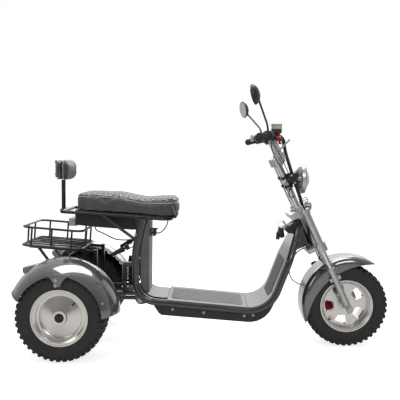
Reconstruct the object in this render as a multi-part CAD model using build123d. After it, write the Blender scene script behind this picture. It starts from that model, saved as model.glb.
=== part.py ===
from build123d import *
import math
import os

# Electric tricycle: a step-through scooter frame with one steered front wheel and two driven
# rear wheels. X points forward, Y to the rider's left, Z up, and the ground is Z = 0.

os.makedirs("parts", exist_ok=True)

# ---------------------------------------------------------------- driving dimensions, mm

# Wheels
REAR_AXLE_X = -710.0
FRONT_AXLE_X = 750.0
HALF_TRACK = 306.0
TYRE_RADIUS = 222.0
TYRE_HALF_WIDTH = 85.0
LUGS = 42
LUG_HEIGHT = 6.0
LUG_INNER_Y = 50.0
LUG_CHAMFER = 8.0
SHOULDER_DROP = 32.0
RIM_RADIUS = 140.0
RIM_HALF_WIDTH = 80.0
RIM_LIP = 4.0
BEAD_SEAT_RADIUS = 127.0
WEB_HALF = 12.0
HUB_RADIUS = 34.0
HUB_HALF = 60.0
WINDOWS = 5
WINDOW_TURN = 42.0
WINDOW_RADII = (60.0, 108.0)
WINDOW_HALF_WIDTHS = (21.0, 35.0)
WINDOW_CORNER = 12.0
WEB_Y = -28.0
DISC_RADIUS = 88.0
DISC_HALF = 2.0
AXLE_RADIUS = 10.0
RUN_CLEARANCE = 0.05
HUB_BORE = AXLE_RADIUS + RUN_CLEARANCE
SEAT_GAP = 0.3

# Main frame: two bent side tubes
TUBE_RADIUS = 19.0
TUBE_WALL = 2.5
TUBE_Y = 135.0
COLUMN_TOP_X = -341.0
COLUMN_KNEE = (-376.0, 510.0)
REAR_CORNER = (-372.0, 252.0)
FRONT_CORNER = (330.0, 197.0)
NECK_BEND_Z = 472.0
NECK_END = (497.0, 646.0)
NECK_Y = 40.0
KNEE_BEND = 500.0
REAR_BEND = 116.0
FRONT_BEND = 161.0
NECK_BEND_RADIUS = 140.0
NECK_GUSSET_HALF = 20.0
PIVOT = (-350.0, 253.0)
PIVOT_RADIUS = 12.0
GUSSET_HALF = 3.0
CROSSBAR_RADIUS = 9.0
CROSSBAR_HEIGHTS = (440.0, 636.0)

# Floor panels and battery tray
PANEL_THICKNESS = 4.0
PANEL_LIP = 3.0
PANEL_LIP_DROP = 8.0
PANEL_REAR_SEAM_X = -205.0
PANEL_FRONT_SEAM_X = 215.0
PANEL_SEAM = 1.0
RAMP_TOP_Z = 322.0
SHIELD_TOP_Z = 606.0
TRAY_HALF_WIDTH = 138.0
TRAY_WALL = 3.0
TRAY_REAR = (-284.0, 236.0)
TRAY_REAR_CORNER = (-244.0, 176.0)
TRAY_FRONT_CORNER = (305.0, 139.0)
TRAY_FRONT = (428.0, 400.0)
TRAY_BENDS = (35.0, 130.0)
BATTERY_REAR_X = -190.0
BATTERY_LENGTH = 400.0
BATTERY_HALF_WIDTH = 110.0
BATTERY_HEIGHT = 30.0

# Seat column, seat and what hangs on it
COLUMN_HALF_WIDTH = 112.0
COLUMN_WALL = 2.0
COLUMN_FRONT_X = -307.0
COLUMN_CORNER = 34.0
COLUMN_TOP_Z = 680.0
LATCH_Y = -36.0
LATCH_HALF_WIDTH = 20.0
LATCH_DEPTH = 31.0
LATCH_HEIGHT = 38.0
LATCH_LOW_Z = 583.0
COLUMN_LOW_Z = 225.0
COLUMN_BACK = ((-366.0, 225.0), (-362.0, 506.0), (-345.0, 680.0))
RAIL_RADIUS = 9.0
RAIL_BEND = 60.0
RAIL_REAR = (-760.0, 716.0)
RAIL_FRONT = (-190.0, 681.5)
STRUT_RADIUS = 8.0
STRUT_TOP_X = -555.0
STRUT_FOOT = (-372.0, 572.0)
SEAT_BASE_THICKNESS = 5.0
SEAT_BASE_INSET = 4.0
SEAT_REAR_X = -706.0
SEAT_NOSE_X = -151.0
SEAT_REAR_TOP_Z = 812.0
SEAT_DIP_X = -340.0
SEAT_DIP_Z = 782.0
SEAT_STEP_X = -480.0
SEAT_NOSE_TOP_Z = 794.0
SEAT_HALF_WIDTH = 145.0
SEAT_CORNER = 90.0
BOX_REAR_X = -701.0
BOX_FRONT_X = -382.0
BOX_HALF_WIDTH = 90.0
LAMP_HALF_WIDTH = 70.0
POST_RADIUS = 11.0
POST_SETBACK = 6.0
PAD_HALF_WIDTH = 105.0
PAD_CENTRE = (-772.0, 933.0)
PAD_THICKNESS = 76.0
PAD_HEIGHT = 110.0
PAD_CORNER = 28.0

# Basket
BASKET_REAR_X = -972.0
BASKET_LENGTH = 312.0
BASKET_HALF_WIDTH = 165.0
BASKET_TOP_Z = 638.0
BASKET_DEPTH = 96.0
BASKET_SLOPE = 4.0
BASKET_ROD = 6.0
BASKET_POST_ROD = 5.0
BASKET_SLAT_ROD = 4.4
BASKET_CORNER = 40.0
BASKET_SLATS = 6
BASKET_POSTS = 3

# Rear axle, swing arms, shocks
HOUSING_RADIUS = 30.0
HOUSING_HALF_LENGTH = 196.0
DIFF_RADIUS = 72.0
DIFF_HALF_WIDTH = 48.0
AXLE_END_Y = 378.0
MOTOR_FORWARD = 135.0
MOTOR_RADIUS = 60.0
ARM_Y = 100.0
ARM_RADIUS = 11.0
ARM_UPPER_Z = 281.0
ARM_LOWER_Z = 257.0
SHOCK_X = -435.0
SHOCK_LOW_Z = 318.0
SHOCK_HIGH_Z = 440.0
SHOCK_RADIUS = 15.0
SHOCK_COILS = 7
SHOCK_WIRE = 5.0
SHOCK_CUP_HEIGHT = 26.0
SHOCK_TOP_SEAT = 12.0
UPRIGHT_X = -590.0
RACK_RADIUS = 8.0

# Rear fenders
FENDER_THICKNESS = 3.0
FENDER_INWARD = 110.0
FENDER_OUTWARD = 104.0
FENDER_INNER_RISE = 40.0
FENDER_CREST_SHIFT = 12.0
FENDER_CREST_RISE = 50.0
FENDER_EDGE_DROP = 11.0
FENDER_FRONT_ANGLE = 2.0
FENDER_REAR_ANGLE = 156.0
FENDER_LIP = 5.0
FENDER_LIP_TURN = 1.6
TAB_HALF_WIDTHS = (62.0, 34.0, 17.0, 13.0)
TAB_DROPS = (-8.0, 12.0, 36.0, 52.0)
REAR_LAMP_Y = 255.0
REAR_LAMP_HALF_WIDTH = 28.0
REAR_LAMP_HEIGHT = 30.0
REAR_LENS_THICKNESS = 6.0
REAR_LAMP_SINK = 46.0
REAR_LAMP_REACH = 0.746
STAY_WIDTH = 44.0
STAY_THICKNESS = 4.0

# Steering and fork, in the plane of the raked axis
RAKE = 25.2
FORK_OFFSET = 45.0
LEG_Y = 116.0
COVER_RADIUS = 20.0
COLLAR_RADIUS = 29.0
STANCHION_RADIUS = 14.0
SLIDER_RADIUS = 17.0
LOWER_YOKE_S = 357.0
UPPER_YOKE_S = 562.0
TOP_YOKE_S = 855.0
RISER_Y = 62.0
RISER_SETBACK = 22.0
RISER_RADIUS = 16.5
STEM_RADIUS = 14.0
POST_X = 50.0
POST_RADIUS_HIGH = 15.5
HEAD_TUBE_RADIUS = 23.0
HEAD_TUBE_LOW_S = 380.0
HEAD_TUBE_HIGH_S = 530.0
SLIDER_TOP_S = 232.0
BAR_RADIUS = 11.0
BAR_STRAIGHT = 95.0
SWITCH_RADIUS = 20.0
BAR_CENTRE = (350.0, 1103.0)
GRIP_INNER = (296.0, 240.0, 1117.0)
GRIP_END = (240.0, 372.0, 1105.0)
GRIP_RADIUS = 17.0
MIRROR_CENTRE = (212.0, 378.0, 1301.0)
MIRROR_RADIUS = 49.0
MIRROR_DOME = 24.0
MIRROR_RIM = 5.0
MIRROR_TOE_IN = 20.0
MIRROR_LEAN = 12.0
GLASS_THICKNESS = 1.6
STALK_RADIUS = 5.0

# Headlight
LAMP_CENTRE = (505.0, 898.0)
LAMP_RADIUS = 78.0
LAMP_DEPTH = 45.0
LENS_DEPTH = 36.0
LENS_RADIUS = 75.0
LAMP_RIM = 5.0
LAMP_BOLT = (483.0, 902.0)
HORN_ACROSS = 74.0
HORN_Y = 28.0

# Front fender
FRONT_FENDER_SHIFT = (18.0, 10.0)
FRONT_FENDER_CLEARANCE = 34.0
FRONT_FENDER_HALF_WIDTH = 96.0
FRONT_FENDER_SKIRT = 95.0
FRONT_FENDER_CORNER = 36.0
FENDER_TRIM_SHIFT = (128.0, -112.0)
FENDER_TRIM_MARGIN = 84.0

# Pillion pegs
PEG_PIVOT = (-417.0, 535.0)
PEG_Y = 140.0
PEG_TIP = (-498.0, 492.0)
PEG_RADIUS = 15.0
PEG_TIP_RADIUS = 9.0
PEG_EYE_RADIUS = 11.0
PEG_EYE_HALF = 8.0
PEG_PIN_RADIUS = 4.0

# Cords
CONDUIT_RADIUS = 9.5
HOSE_RADIUS = 3.0


# ---------------------------------------------------------------- helpers

def at(point, y):
    """A side-view point (x, z) placed at the lateral position y."""
    return Vector(point[0], y, point[1])


def rod(start, end, radius):
    start = Vector(*start)
    end = Vector(*end)
    along = end - start
    bottom = (Align.CENTER, Align.CENTER, Align.MIN)
    return Plane(origin=start, z_dir=along) * Cylinder(radius, along.length, align=bottom)


def bent_rod(points, radii, radius, bore=0.0):
    path = FilletPolyline(*points, radius=radii)
    start = Plane(origin=path @ 0, z_dir=path % 0)
    section = start * Circle(radius)
    if bore:
        section -= start * Circle(bore)
    return sweep(section, path=path)


def side_plate(points, low_y, high_y, radii=0.0):
    """A closed side-view outline extruded from low_y to high_y."""
    corners = [at(point, low_y) for point in points]
    if radii:
        edge = FilletPolyline(*corners, radius=radii, close=True)
    else:
        edge = Polyline(*corners, close=True)
    return extrude(make_face(edge), amount=high_y - low_y, dir=(0, 1, 0))


def mirrored(shape):
    return mirror(shape, about=Plane.XZ)


def turned(profile, x, y, z):
    """A (y, radius) outline turned about the lateral line through x, z and moved to y."""
    face = make_face(Polyline(*[Vector(0, across, radius) for across, radius in profile], close=True))
    return Pos(x, y, z) * revolve(face, axis=Axis.Y)


def offset_route(points, distance):
    """Corner points of a side-view polyline moved to its left by distance."""
    lines = []
    for (x0, z0), (x1, z1) in zip(points, points[1:]):
        length = math.hypot(x1 - x0, z1 - z0)
        ux = (x1 - x0) / length
        uz = (z1 - z0) / length
        lines.append((x0 - uz * distance, z0 + ux * distance, ux, uz))
    first = lines[0]
    result = [(first[0], first[1])]
    for (xa, za, ua, wa), (xb, zb, ub, wb) in zip(lines, lines[1:]):
        cross = ua * wb - wa * ub
        along = ((xb - xa) * wb - (zb - za) * ub) / cross
        result.append((xa + ua * along, za + wa * along))
    last = lines[-1]
    x_end = points[-1][0] - last[3] * distance
    z_end = points[-1][1] + last[2] * distance
    result.append((x_end, z_end))
    return result


def route_face(points, radii, near, far, y):
    """The band between two offsets of a route, as a face in the plane at y."""
    inner = offset_route(points, far)
    outer = offset_route(points, near)
    inner_radii = [radius - far for radius in radii]
    outer_radii = [radius - near for radius in radii]
    a = FilletPolyline(*[at(p, y) for p in outer], radius=outer_radii)
    b = FilletPolyline(*[at(p, y) for p in inner], radius=inner_radii)
    return make_face(a + Line(a @ 1, b @ 1) + b + Line(b @ 0, a @ 0))


def route_band(points, radii, near, far, low_y, high_y):
    face = route_face(points, radii, near, far, low_y)
    return extrude(face, amount=high_y - low_y, dir=(0, 1, 0))


def block(low, high):
    size = [b - a for a, b in zip(low, high)]
    centre = [(a + b) / 2 for a, b in zip(low, high)]
    return Pos(*centre) * Box(*size)


nodes = {}


def keep(name, *shapes):
    solids = []
    for shape in shapes:
        solids += shape.solids()
    nodes[name] = solids[0] if len(solids) == 1 else Compound(children=solids)


# The fork's own frame: x forward across the steering axis, z up along it
rake = math.radians(RAKE)
ACROSS = Vector(math.cos(rake), 0, math.sin(rake))
ALONG = Vector(-math.sin(rake), 0, math.cos(rake))
FRONT_AXLE = Vector(FRONT_AXLE_X, 0, TYRE_RADIUS)
STEER_FOOT = FRONT_AXLE - ACROSS * FORK_OFFSET
STEER = Plane(origin=STEER_FOOT, x_dir=ACROSS, z_dir=ALONG)


def fork(x, y, s):
    """A point given across, beside and along the steering axis."""
    return STEER_FOOT + ACROSS * x + ALONG * s + Vector(0, y, 0)


def fork_rod(x, y, low, high, radius):
    return rod(fork(x, y, low), fork(x, y, high), radius)


def fork_box(x_range, y_range, s_range):
    """A block given by its ranges across, beside and along the steering axis."""
    low = [min(r) for r in (x_range, y_range, s_range)]
    high = [max(r) for r in (x_range, y_range, s_range)]
    return STEER * block(low, high)


# ---------------------------------------------------------------- main frame

rail_slope = (RAIL_FRONT[1] - RAIL_REAR[1]) / (RAIL_FRONT[0] - RAIL_REAR[0])


def rail_z(x):
    """Height of the seat rail's centre line at x."""
    return RAIL_REAR[1] + (x - RAIL_REAR[0]) * rail_slope


COLUMN_TOP = (COLUMN_TOP_X, rail_z(COLUMN_TOP_X) - RAIL_RADIUS / 2)
DECK_ROUTE = [COLUMN_TOP, COLUMN_KNEE, REAR_CORNER, FRONT_CORNER, NECK_END]
DECK_RADII = [KNEE_BEND, REAR_BEND, FRONT_BEND]
neck_share = (NECK_BEND_Z - FRONT_CORNER[1]) / (NECK_END[1] - FRONT_CORNER[1])
NECK_BEND = (FRONT_CORNER[0] + neck_share * (NECK_END[0] - FRONT_CORNER[0]), NECK_BEND_Z)
seat_rail = bent_rod(
    [at(RAIL_REAR, -TUBE_Y), at(RAIL_FRONT, -TUBE_Y), at(RAIL_FRONT, TUBE_Y), at(RAIL_REAR, TUBE_Y)],
    [RAIL_BEND, RAIL_BEND], RAIL_RADIUS,
)
head_outer = fork_rod(0, 0, HEAD_TUBE_LOW_S, HEAD_TUBE_HIGH_S, HEAD_TUBE_RADIUS)
head_bore = fork_rod(0, 0, HEAD_TUBE_LOW_S - 5, HEAD_TUBE_HIGH_S + 5, STEM_RADIUS + RUN_CLEARANCE)
px, pz = PIVOT
gusset_outline = [(px - 28, pz + 47), (px - 24, pz), (px - 12, pz - 19), (px + 8, pz - 22), (px + 78, pz - 6)]


def side_tube(side):
    points = [
        at(COLUMN_TOP, side * TUBE_Y),
        at(COLUMN_KNEE, side * TUBE_Y),
        at(REAR_CORNER, side * TUBE_Y),
        at(FRONT_CORNER, side * TUBE_Y),
        at(NECK_BEND, side * TUBE_Y),
        at(NECK_END, side * NECK_Y),
    ]
    radii = [KNEE_BEND, REAR_BEND, FRONT_BEND, NECK_BEND_RADIUS]
    tube = bent_rod(points, radii, TUBE_RADIUS, TUBE_RADIUS - TUBE_WALL)
    tube = (tube - head_outer - seat_rail).solids().sort_by(SortBy.VOLUME)[-1]
    middle = side * TUBE_Y
    return tube + side_plate(gusset_outline, middle - GUSSET_HALF, middle + GUSSET_HALF)


side_tubes = {"right": side_tube(-1), "left": side_tube(1)}
for hand, tube in side_tubes.items():
    keep("frame_tube_" + hand, tube)

# Neck gusset on the centre line, from the head tube down between the side tubes
neck_gusset = side_plate(
    [(466.0, 628.0), (436.0, 520.0), (500.0, 500.0), (560.0, 548.0), (508.0, 660.0)],
    -NECK_GUSSET_HALF, NECK_GUSSET_HALF,
)
neck_gusset -= fork_rod(0, 0, 300, 700, HEAD_TUBE_RADIUS)
neck_gusset -= fork_box((-200, 100), (-100, 100), (300, LOWER_YOKE_S + 18))
neck_gusset -= route_band(DECK_ROUTE, DECK_RADII, TUBE_RADIUS, REAR_BEND - 16, -NECK_Y, NECK_Y)
neck_gusset = neck_gusset.solids().sort_by(SortBy.VOLUME)[-1]
key_panel = side_plate([(411.0, 629.0), (452.0, 588.0), (505.0, 689.0)], -NECK_Y - 8, NECK_Y + 8)
keep("head_tube", head_outer + neck_gusset - head_bore - side_tubes["right"] - side_tubes["left"])
key_panel -= fork_rod(0, 0, 300, 800, HEAD_TUBE_RADIUS + SEAT_GAP)
for tube in side_tubes.values():
    key_panel -= tube
key_panel -= neck_gusset
key_panel -= fork_box((-5, 100), (-100, 100), (400, 600))
key_panel -= block((300, -100, 400), (600, 100, SHIELD_TOP_Z + SEAT_GAP))
keep("key_panel", key_panel.solids().sort_by(SortBy.VOLUME)[-1])


def column_back_x(z):
    """The rear face of the column cover at height z."""
    for (x0, z0), (x1, z1) in zip(COLUMN_BACK, COLUMN_BACK[1:]):
        if z <= z1:
            return x0 + (x1 - x0) * (z - z0) / (z1 - z0)
    return COLUMN_BACK[-1][0]


pivot_tube = rod((px, -TUBE_Y + GUSSET_HALF, pz), (px, TUBE_Y - GUSSET_HALF, pz), PIVOT_RADIUS)
crossbars = [pivot_tube - side_tubes["right"] - side_tubes["left"]]
for z in CROSSBAR_HEIGHTS:
    x = column_back_x(z) - CROSSBAR_RADIUS - SEAT_GAP
    bar = rod((x, -TUBE_Y, z), (x, TUBE_Y, z), CROSSBAR_RADIUS)
    bar = (bar - side_tubes["right"] - side_tubes["left"]).solids()
    crossbars.append(bar.sort_by(SortBy.VOLUME)[-1])
keep("column_crossbars", *crossbars)

# ---------------------------------------------------------------- floor panels and tray

panel_low = TUBE_RADIUS + SEAT_GAP
panel_high = panel_low + PANEL_THICKNESS
panel_half = TUBE_Y + TUBE_RADIUS + SEAT_GAP + PANEL_LIP
full_panel = route_band(DECK_ROUTE, DECK_RADII, panel_low, panel_high, -panel_half, panel_half)
for low_y in (-panel_half, panel_half - PANEL_LIP):
    full_panel += route_band(
        DECK_ROUTE, DECK_RADII, panel_low - PANEL_LIP_DROP, panel_high, low_y, low_y + PANEL_LIP
    )

floor_zone = block((PANEL_REAR_SEAM_X, -200, 150), (PANEL_FRONT_SEAM_X, 200, 300))
ramp_zone = block((-400, -200, 150), (PANEL_REAR_SEAM_X - PANEL_SEAM, 200, RAMP_TOP_Z))
ramp_half = TUBE_Y - TUBE_RADIUS - SEAT_GAP
shield_zone = block((PANEL_FRONT_SEAM_X + PANEL_SEAM, -200, 150), (520, 200, SHIELD_TOP_Z))
# The shield narrows with the side tubes where they close in on the neck
taper = (TUBE_Y - NECK_Y) / (NECK_END[1] - NECK_BEND[1])
taper_rise = SHIELD_TOP_Z - NECK_BEND[1] + 10
shield_outline = [
    Vector(0, -panel_half, 100),
    Vector(0, -panel_half, NECK_BEND[1]),
    Vector(0, -panel_half + taper * taper_rise, NECK_BEND[1] + taper_rise),
    Vector(0, panel_half - taper * taper_rise, NECK_BEND[1] + taper_rise),
    Vector(0, panel_half, NECK_BEND[1]),
    Vector(0, panel_half, 100),
]
shield_cut = extrude(make_face(Polyline(*shield_outline, close=True)), amount=700, dir=(1, 0, 0))
keep("floor_panel", full_panel & floor_zone)
# The ramp lies between the side tubes, with a lip down beside each
ramp = route_band(DECK_ROUTE, DECK_RADII, panel_low, panel_high, -ramp_half, ramp_half)
for low_y in (-ramp_half, ramp_half - PANEL_LIP):
    ramp += route_band(DECK_ROUTE, DECK_RADII, 0, panel_high, low_y, low_y + PANEL_LIP)
ramp &= ramp_zone
keep("ramp_panel", ramp.solids().sort_by(SortBy.VOLUME)[-1])
shield = (full_panel & shield_zone & shield_cut) - side_tubes["right"] - side_tubes["left"]
keep("leg_shield", shield.solids().sort_by(SortBy.VOLUME)[-1])

tray_corners = [TRAY_REAR, TRAY_REAR_CORNER, TRAY_FRONT_CORNER, TRAY_FRONT]


def tray_body(corners, half_width, radii):
    edge = FilletPolyline(*[at(p, -half_width) for p in corners], radius=radii)
    return extrude(make_face(edge + Line(edge @ 1, edge @ 0)), amount=2 * half_width, dir=(0, 1, 0))


above_tubes = route_band(
    DECK_ROUTE, DECK_RADII, -(TUBE_RADIUS + SEAT_GAP), REAR_BEND - 16,
    -TRAY_HALF_WIDTH, TRAY_HALF_WIDTH,
)
tray = tray_body(tray_corners, TRAY_HALF_WIDTH, TRAY_BENDS) - above_tubes
tray = tray.solids().sort_by(SortBy.VOLUME)[-1]
inside_bends = [bend - TRAY_WALL for bend in TRAY_BENDS]
tray -= tray_body(offset_route(tray_corners, TRAY_WALL), TRAY_HALF_WIDTH - TRAY_WALL, inside_bends)
keep("battery_tray", tray.solids().sort_by(SortBy.VOLUME)[-1])
# The battery case lies on the sloping floor of the tray
(floor_x, floor_z), (floor_end_x, floor_end_z) = offset_route(tray_corners, TRAY_WALL + SEAT_GAP)[1:3]
floor_slope = (floor_end_z - floor_z) / (floor_end_x - floor_x)
battery_corners = []
for x, rise in (
    (BATTERY_REAR_X, 0), (BATTERY_REAR_X + BATTERY_LENGTH, 0),
    (BATTERY_REAR_X + BATTERY_LENGTH, BATTERY_HEIGHT), (BATTERY_REAR_X, BATTERY_HEIGHT),
):
    corner = (x, floor_z + floor_slope * (x - floor_x) + rise)
    battery_corners.append(at(corner, -BATTERY_HALF_WIDTH))
battery_side = make_face(Polyline(*battery_corners, close=True))
keep("battery_block", extrude(battery_side, amount=2 * BATTERY_HALF_WIDTH, dir=(0, 1, 0)))

# ---------------------------------------------------------------- seat column and seat



def column_body(inset):
    """The column cover's outer form, or the space inside it at a given inset."""
    front_x = COLUMN_FRONT_X - inset
    back = [(x + inset, z) for x, z in COLUMN_BACK]
    outline = [(front_x, COLUMN_TOP_Z - inset), (front_x, COLUMN_LOW_Z)] + back
    outline[-1] = (outline[-1][0], COLUMN_TOP_Z - inset)
    half = COLUMN_HALF_WIDTH - inset
    body = side_plate(outline, -half, half)
    front_edges = body.edges().filter_by(Axis.Z).group_by(Axis.X)[-1]
    return fillet(front_edges, COLUMN_CORNER - inset)


# Its foot is cut to sit on the ramp
below_ramp = route_band(
    DECK_ROUTE, DECK_RADII, -4 * TUBE_RADIUS, panel_high + SEAT_GAP, -2 * TUBE_Y, 2 * TUBE_Y
)
column = column_body(0) - column_body(COLUMN_WALL) - below_ramp
keep("column_cover", column.solids().sort_by(SortBy.VOLUME)[-1])

# Seat latch on the column's front face, with a finger lever on its top
latch = block(
    (COLUMN_FRONT_X + SEAT_GAP, LATCH_Y - LATCH_HALF_WIDTH, LATCH_LOW_Z),
    (COLUMN_FRONT_X + SEAT_GAP + LATCH_DEPTH, LATCH_Y + LATCH_HALF_WIDTH, LATCH_LOW_Z + LATCH_HEIGHT),
)
latch = fillet(latch.edges().filter_by(Axis.Y).group_by(Axis.X)[-1], 6)
latch_top = LATCH_LOW_Z + LATCH_HEIGHT
latch += block(
    (COLUMN_FRONT_X + 4, LATCH_Y - 9, latch_top - 4),
    (COLUMN_FRONT_X + LATCH_DEPTH + 8, LATCH_Y + 9, latch_top + 3),
)
keep("seat_latch", latch)

rear_bar = rod(at(RAIL_REAR, -TUBE_Y), at(RAIL_REAR, TUBE_Y), RAIL_RADIUS)
seat_frame = seat_rail + rear_bar
for side in (-1, 1):
    top = (STRUT_TOP_X, side * TUBE_Y, rail_z(STRUT_TOP_X))
    seat_frame += rod(top, at(STRUT_FOOT, side * TUBE_Y), STRUT_RADIUS)
for tube in side_tubes.values():
    seat_frame -= tube
keep("seat_rail_frame", seat_frame.solids().sort_by(SortBy.VOLUME)[-1])

rail_tilt = math.cos(math.atan(rail_slope))
base_low = (RAIL_RADIUS + SEAT_GAP) / rail_tilt
base_points = [(x, rail_z(x) + base_low) for x in (SEAT_REAR_X + 20, SEAT_NOSE_X - 12)]
base_line = base_points + [(x, z + SEAT_BASE_THICKNESS) for x, z in reversed(base_points)]
base_half = SEAT_HALF_WIDTH - SEAT_BASE_INSET
keep("seat_base", side_plate(base_line, -base_half, base_half))

foam_low = base_low + SEAT_BASE_THICKNESS + SEAT_GAP
seat_outline = [
    (SEAT_REAR_X, rail_z(SEAT_REAR_X) + foam_low),
    (SEAT_NOSE_X, rail_z(SEAT_NOSE_X) + foam_low),
    (SEAT_NOSE_X, SEAT_NOSE_TOP_Z),
    (SEAT_DIP_X, SEAT_DIP_Z),
    (SEAT_STEP_X, SEAT_REAR_TOP_Z - 3),
    (SEAT_REAR_X, SEAT_REAR_TOP_Z),
]
seat_block = side_plate(seat_outline, -SEAT_HALF_WIDTH, SEAT_HALF_WIDTH, [20, 30, 34, 200, 200, 34])
seat_plan = Pos((SEAT_REAR_X + SEAT_NOSE_X) / 2, 0, 750) * extrude(
    RectangleRounded(SEAT_NOSE_X - SEAT_REAR_X, 2 * SEAT_HALF_WIDTH, SEAT_CORNER), amount=100, both=True
)
keep("seat", seat_block & seat_plan)

box_outline = [
    (BOX_REAR_X, rail_z(BOX_REAR_X) + base_low - SEAT_GAP),
    (BOX_REAR_X, 642.0),
    (-592.0, 632.0),
    (BOX_FRONT_X - 7, 619.0),
    (BOX_FRONT_X, rail_z(BOX_FRONT_X) + base_low - SEAT_GAP),
]
keep("controller_box", side_plate(box_outline, -BOX_HALF_WIDTH, BOX_HALF_WIDTH))
tail_lamp = block((-740, -LAMP_HALF_WIDTH, 633), (BOX_REAR_X - SEAT_GAP, LAMP_HALF_WIDTH, 676))
keep("tail_lamp", fillet(tail_lamp.edges().filter_by(Axis.X), 8))

post_x = RAIL_REAR[0] - RAIL_RADIUS - SEAT_GAP - POST_RADIUS - POST_SETBACK
pad_low_z = PAD_CENTRE[1] - PAD_HEIGHT / 2
post = rod((post_x, 0, RAIL_REAR[1] - 14), (post_x, 0, pad_low_z - SEAT_GAP), POST_RADIUS)
foot_x = RAIL_REAR[0] - RAIL_RADIUS - SEAT_GAP
post += block((foot_x - 24, -45, RAIL_REAR[1] - 12), (foot_x, 45, RAIL_REAR[1] + 6))
keep("backrest_post", post)
pad = Pos(PAD_CENTRE[0], 0, PAD_CENTRE[1]) * Box(PAD_THICKNESS, 2 * PAD_HALF_WIDTH, PAD_HEIGHT)
keep("backrest_pad", fillet(pad.edges(), PAD_CORNER))

# ---------------------------------------------------------------- basket

def basket_half_ring(z, side):
    half_width = side * BASKET_HALF_WIDTH
    corners = [(0, 0, z), (0, half_width, z), (BASKET_LENGTH, half_width, z), (BASKET_LENGTH, 0, z)]
    return bent_rod(corners, [BASKET_CORNER, BASKET_CORNER], BASKET_ROD)


basket = Part()
for z in (0, -BASKET_DEPTH):
    for side in (-1, 1):
        basket += basket_half_ring(z, side)
for i in range(BASKET_POSTS):
    x = BASKET_LENGTH * (i + 0.5) / BASKET_POSTS
    for side in (-1, 1):
        y = side * BASKET_HALF_WIDTH
        basket += rod((x, y, -BASKET_DEPTH), (x, y, 0), BASKET_POST_ROD)
for y in (-BASKET_HALF_WIDTH / 3, BASKET_HALF_WIDTH / 3):
    for x in (0, BASKET_LENGTH):
        basket += rod((x, y, -BASKET_DEPTH), (x, y, 0), BASKET_POST_ROD)
for i in range(BASKET_SLATS):
    y = BASKET_HALF_WIDTH * (2 * (i + 0.5) / BASKET_SLATS - 1)
    basket += rod((0, y, -BASKET_DEPTH), (BASKET_LENGTH, y, -BASKET_DEPTH), BASKET_SLAT_ROD)
floor_setback = BASKET_DEPTH * math.sin(math.radians(BASKET_SLOPE))
basket_x = BASKET_REAR_X + BASKET_ROD + floor_setback
basket_place = Pos(basket_x, 0, BASKET_TOP_Z) * Rot(0, BASKET_SLOPE, 0)
keep("basket", basket_place * basket)

# ---------------------------------------------------------------- rear axle and swing arms

housing = rod(
    (REAR_AXLE_X, -HOUSING_HALF_LENGTH, TYRE_RADIUS),
    (REAR_AXLE_X, HOUSING_HALF_LENGTH, TYRE_RADIUS), HOUSING_RADIUS,
)
housing += rod(
    (REAR_AXLE_X, -DIFF_HALF_WIDTH, TYRE_RADIUS),
    (REAR_AXLE_X, DIFF_HALF_WIDTH, TYRE_RADIUS), DIFF_RADIUS,
)
housing += rod(
    (REAR_AXLE_X, -AXLE_END_Y, TYRE_RADIUS), (REAR_AXLE_X, AXLE_END_Y, TYRE_RADIUS), AXLE_RADIUS
)
motor_x = REAR_AXLE_X + MOTOR_FORWARD
motor_z = TYRE_RADIUS + 18
housing += rod((motor_x, -20, motor_z), (motor_x, 85, motor_z), MOTOR_RADIUS)
housing += block((REAR_AXLE_X + 10, 0, motor_z - 40), (motor_x, 40, motor_z + 40))

arms = []
for side in (-1, 1):
    y = side * ARM_Y
    arm_front = px - 18
    arm = rod((REAR_AXLE_X, y, ARM_UPPER_Z), (arm_front, y, ARM_UPPER_Z), ARM_RADIUS)
    arm += rod((REAR_AXLE_X, y, ARM_LOWER_Z), (px, y, ARM_LOWER_Z), ARM_RADIUS)
    arm += block((arm_front - 6, y - 8, ARM_LOWER_Z), (arm_front, y + 8, ARM_UPPER_Z))
    arm += block((REAR_AXLE_X - 30, y - 8, TYRE_RADIUS), (REAR_AXLE_X + 30, y + 8, ARM_UPPER_Z))
    arm += block((SHOCK_X - 15, y - 20, SHOCK_LOW_Z - 14), (px - 30, y + 20, SHOCK_LOW_Z))
    arm += block((SHOCK_X - 10, y - 6, ARM_UPPER_Z), (px - 40, y + 6, SHOCK_LOW_Z - 10))
    arm = arm - housing - crossbars[0]
    arms.append(arm.solids().sort_by(SortBy.VOLUME)[-1])
keep("swing_arms", *arms)
keep("rear_axle_drive", housing)



def shock_outline():
    """Radius and height of the damper, its lower cup and the coils around it."""
    low = SHOCK_LOW_Z + SEAT_GAP
    coils_low = low + SHOCK_CUP_HEIGHT
    pitch = (SHOCK_HIGH_Z - SHOCK_TOP_SEAT - coils_low) / SHOCK_COILS
    core = SHOCK_RADIUS - SHOCK_WIRE
    points = [(0, low), (core, low), (core + 2, low + 4), (core + 2, coils_low - 4), (core, coils_low)]
    for i in range(SHOCK_COILS):
        z = coils_low + pitch * i
        points += [(core, z + pitch * 0.1), (SHOCK_RADIUS, z + pitch * 0.3)]
        points += [(SHOCK_RADIUS, z + pitch * 0.7), (core, z + pitch * 0.9)]
    return points + [(core, SHOCK_HIGH_Z), (0, SHOCK_HIGH_Z)]


shocks = []
for side in (-1, 1):
    y = side * ARM_Y
    shock_face = make_face(Polyline(*[Vector(r, 0, z) for r, z in shock_outline()], close=True))
    shock = Pos(SHOCK_X, y, 0) * revolve(shock_face, axis=Axis.Z)
    ear_x = column_back_x(SHOCK_HIGH_Z) - 2
    shock += block((SHOCK_X - 8, y - 8, SHOCK_HIGH_Z - 12), (ear_x, y + 8, SHOCK_HIGH_Z + 8))
    for bar in crossbars:
        shock -= bar
    shocks.append(shock.solids().sort_by(SortBy.VOLUME)[-1])
keep("shock_absorbers", *shocks)

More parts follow.
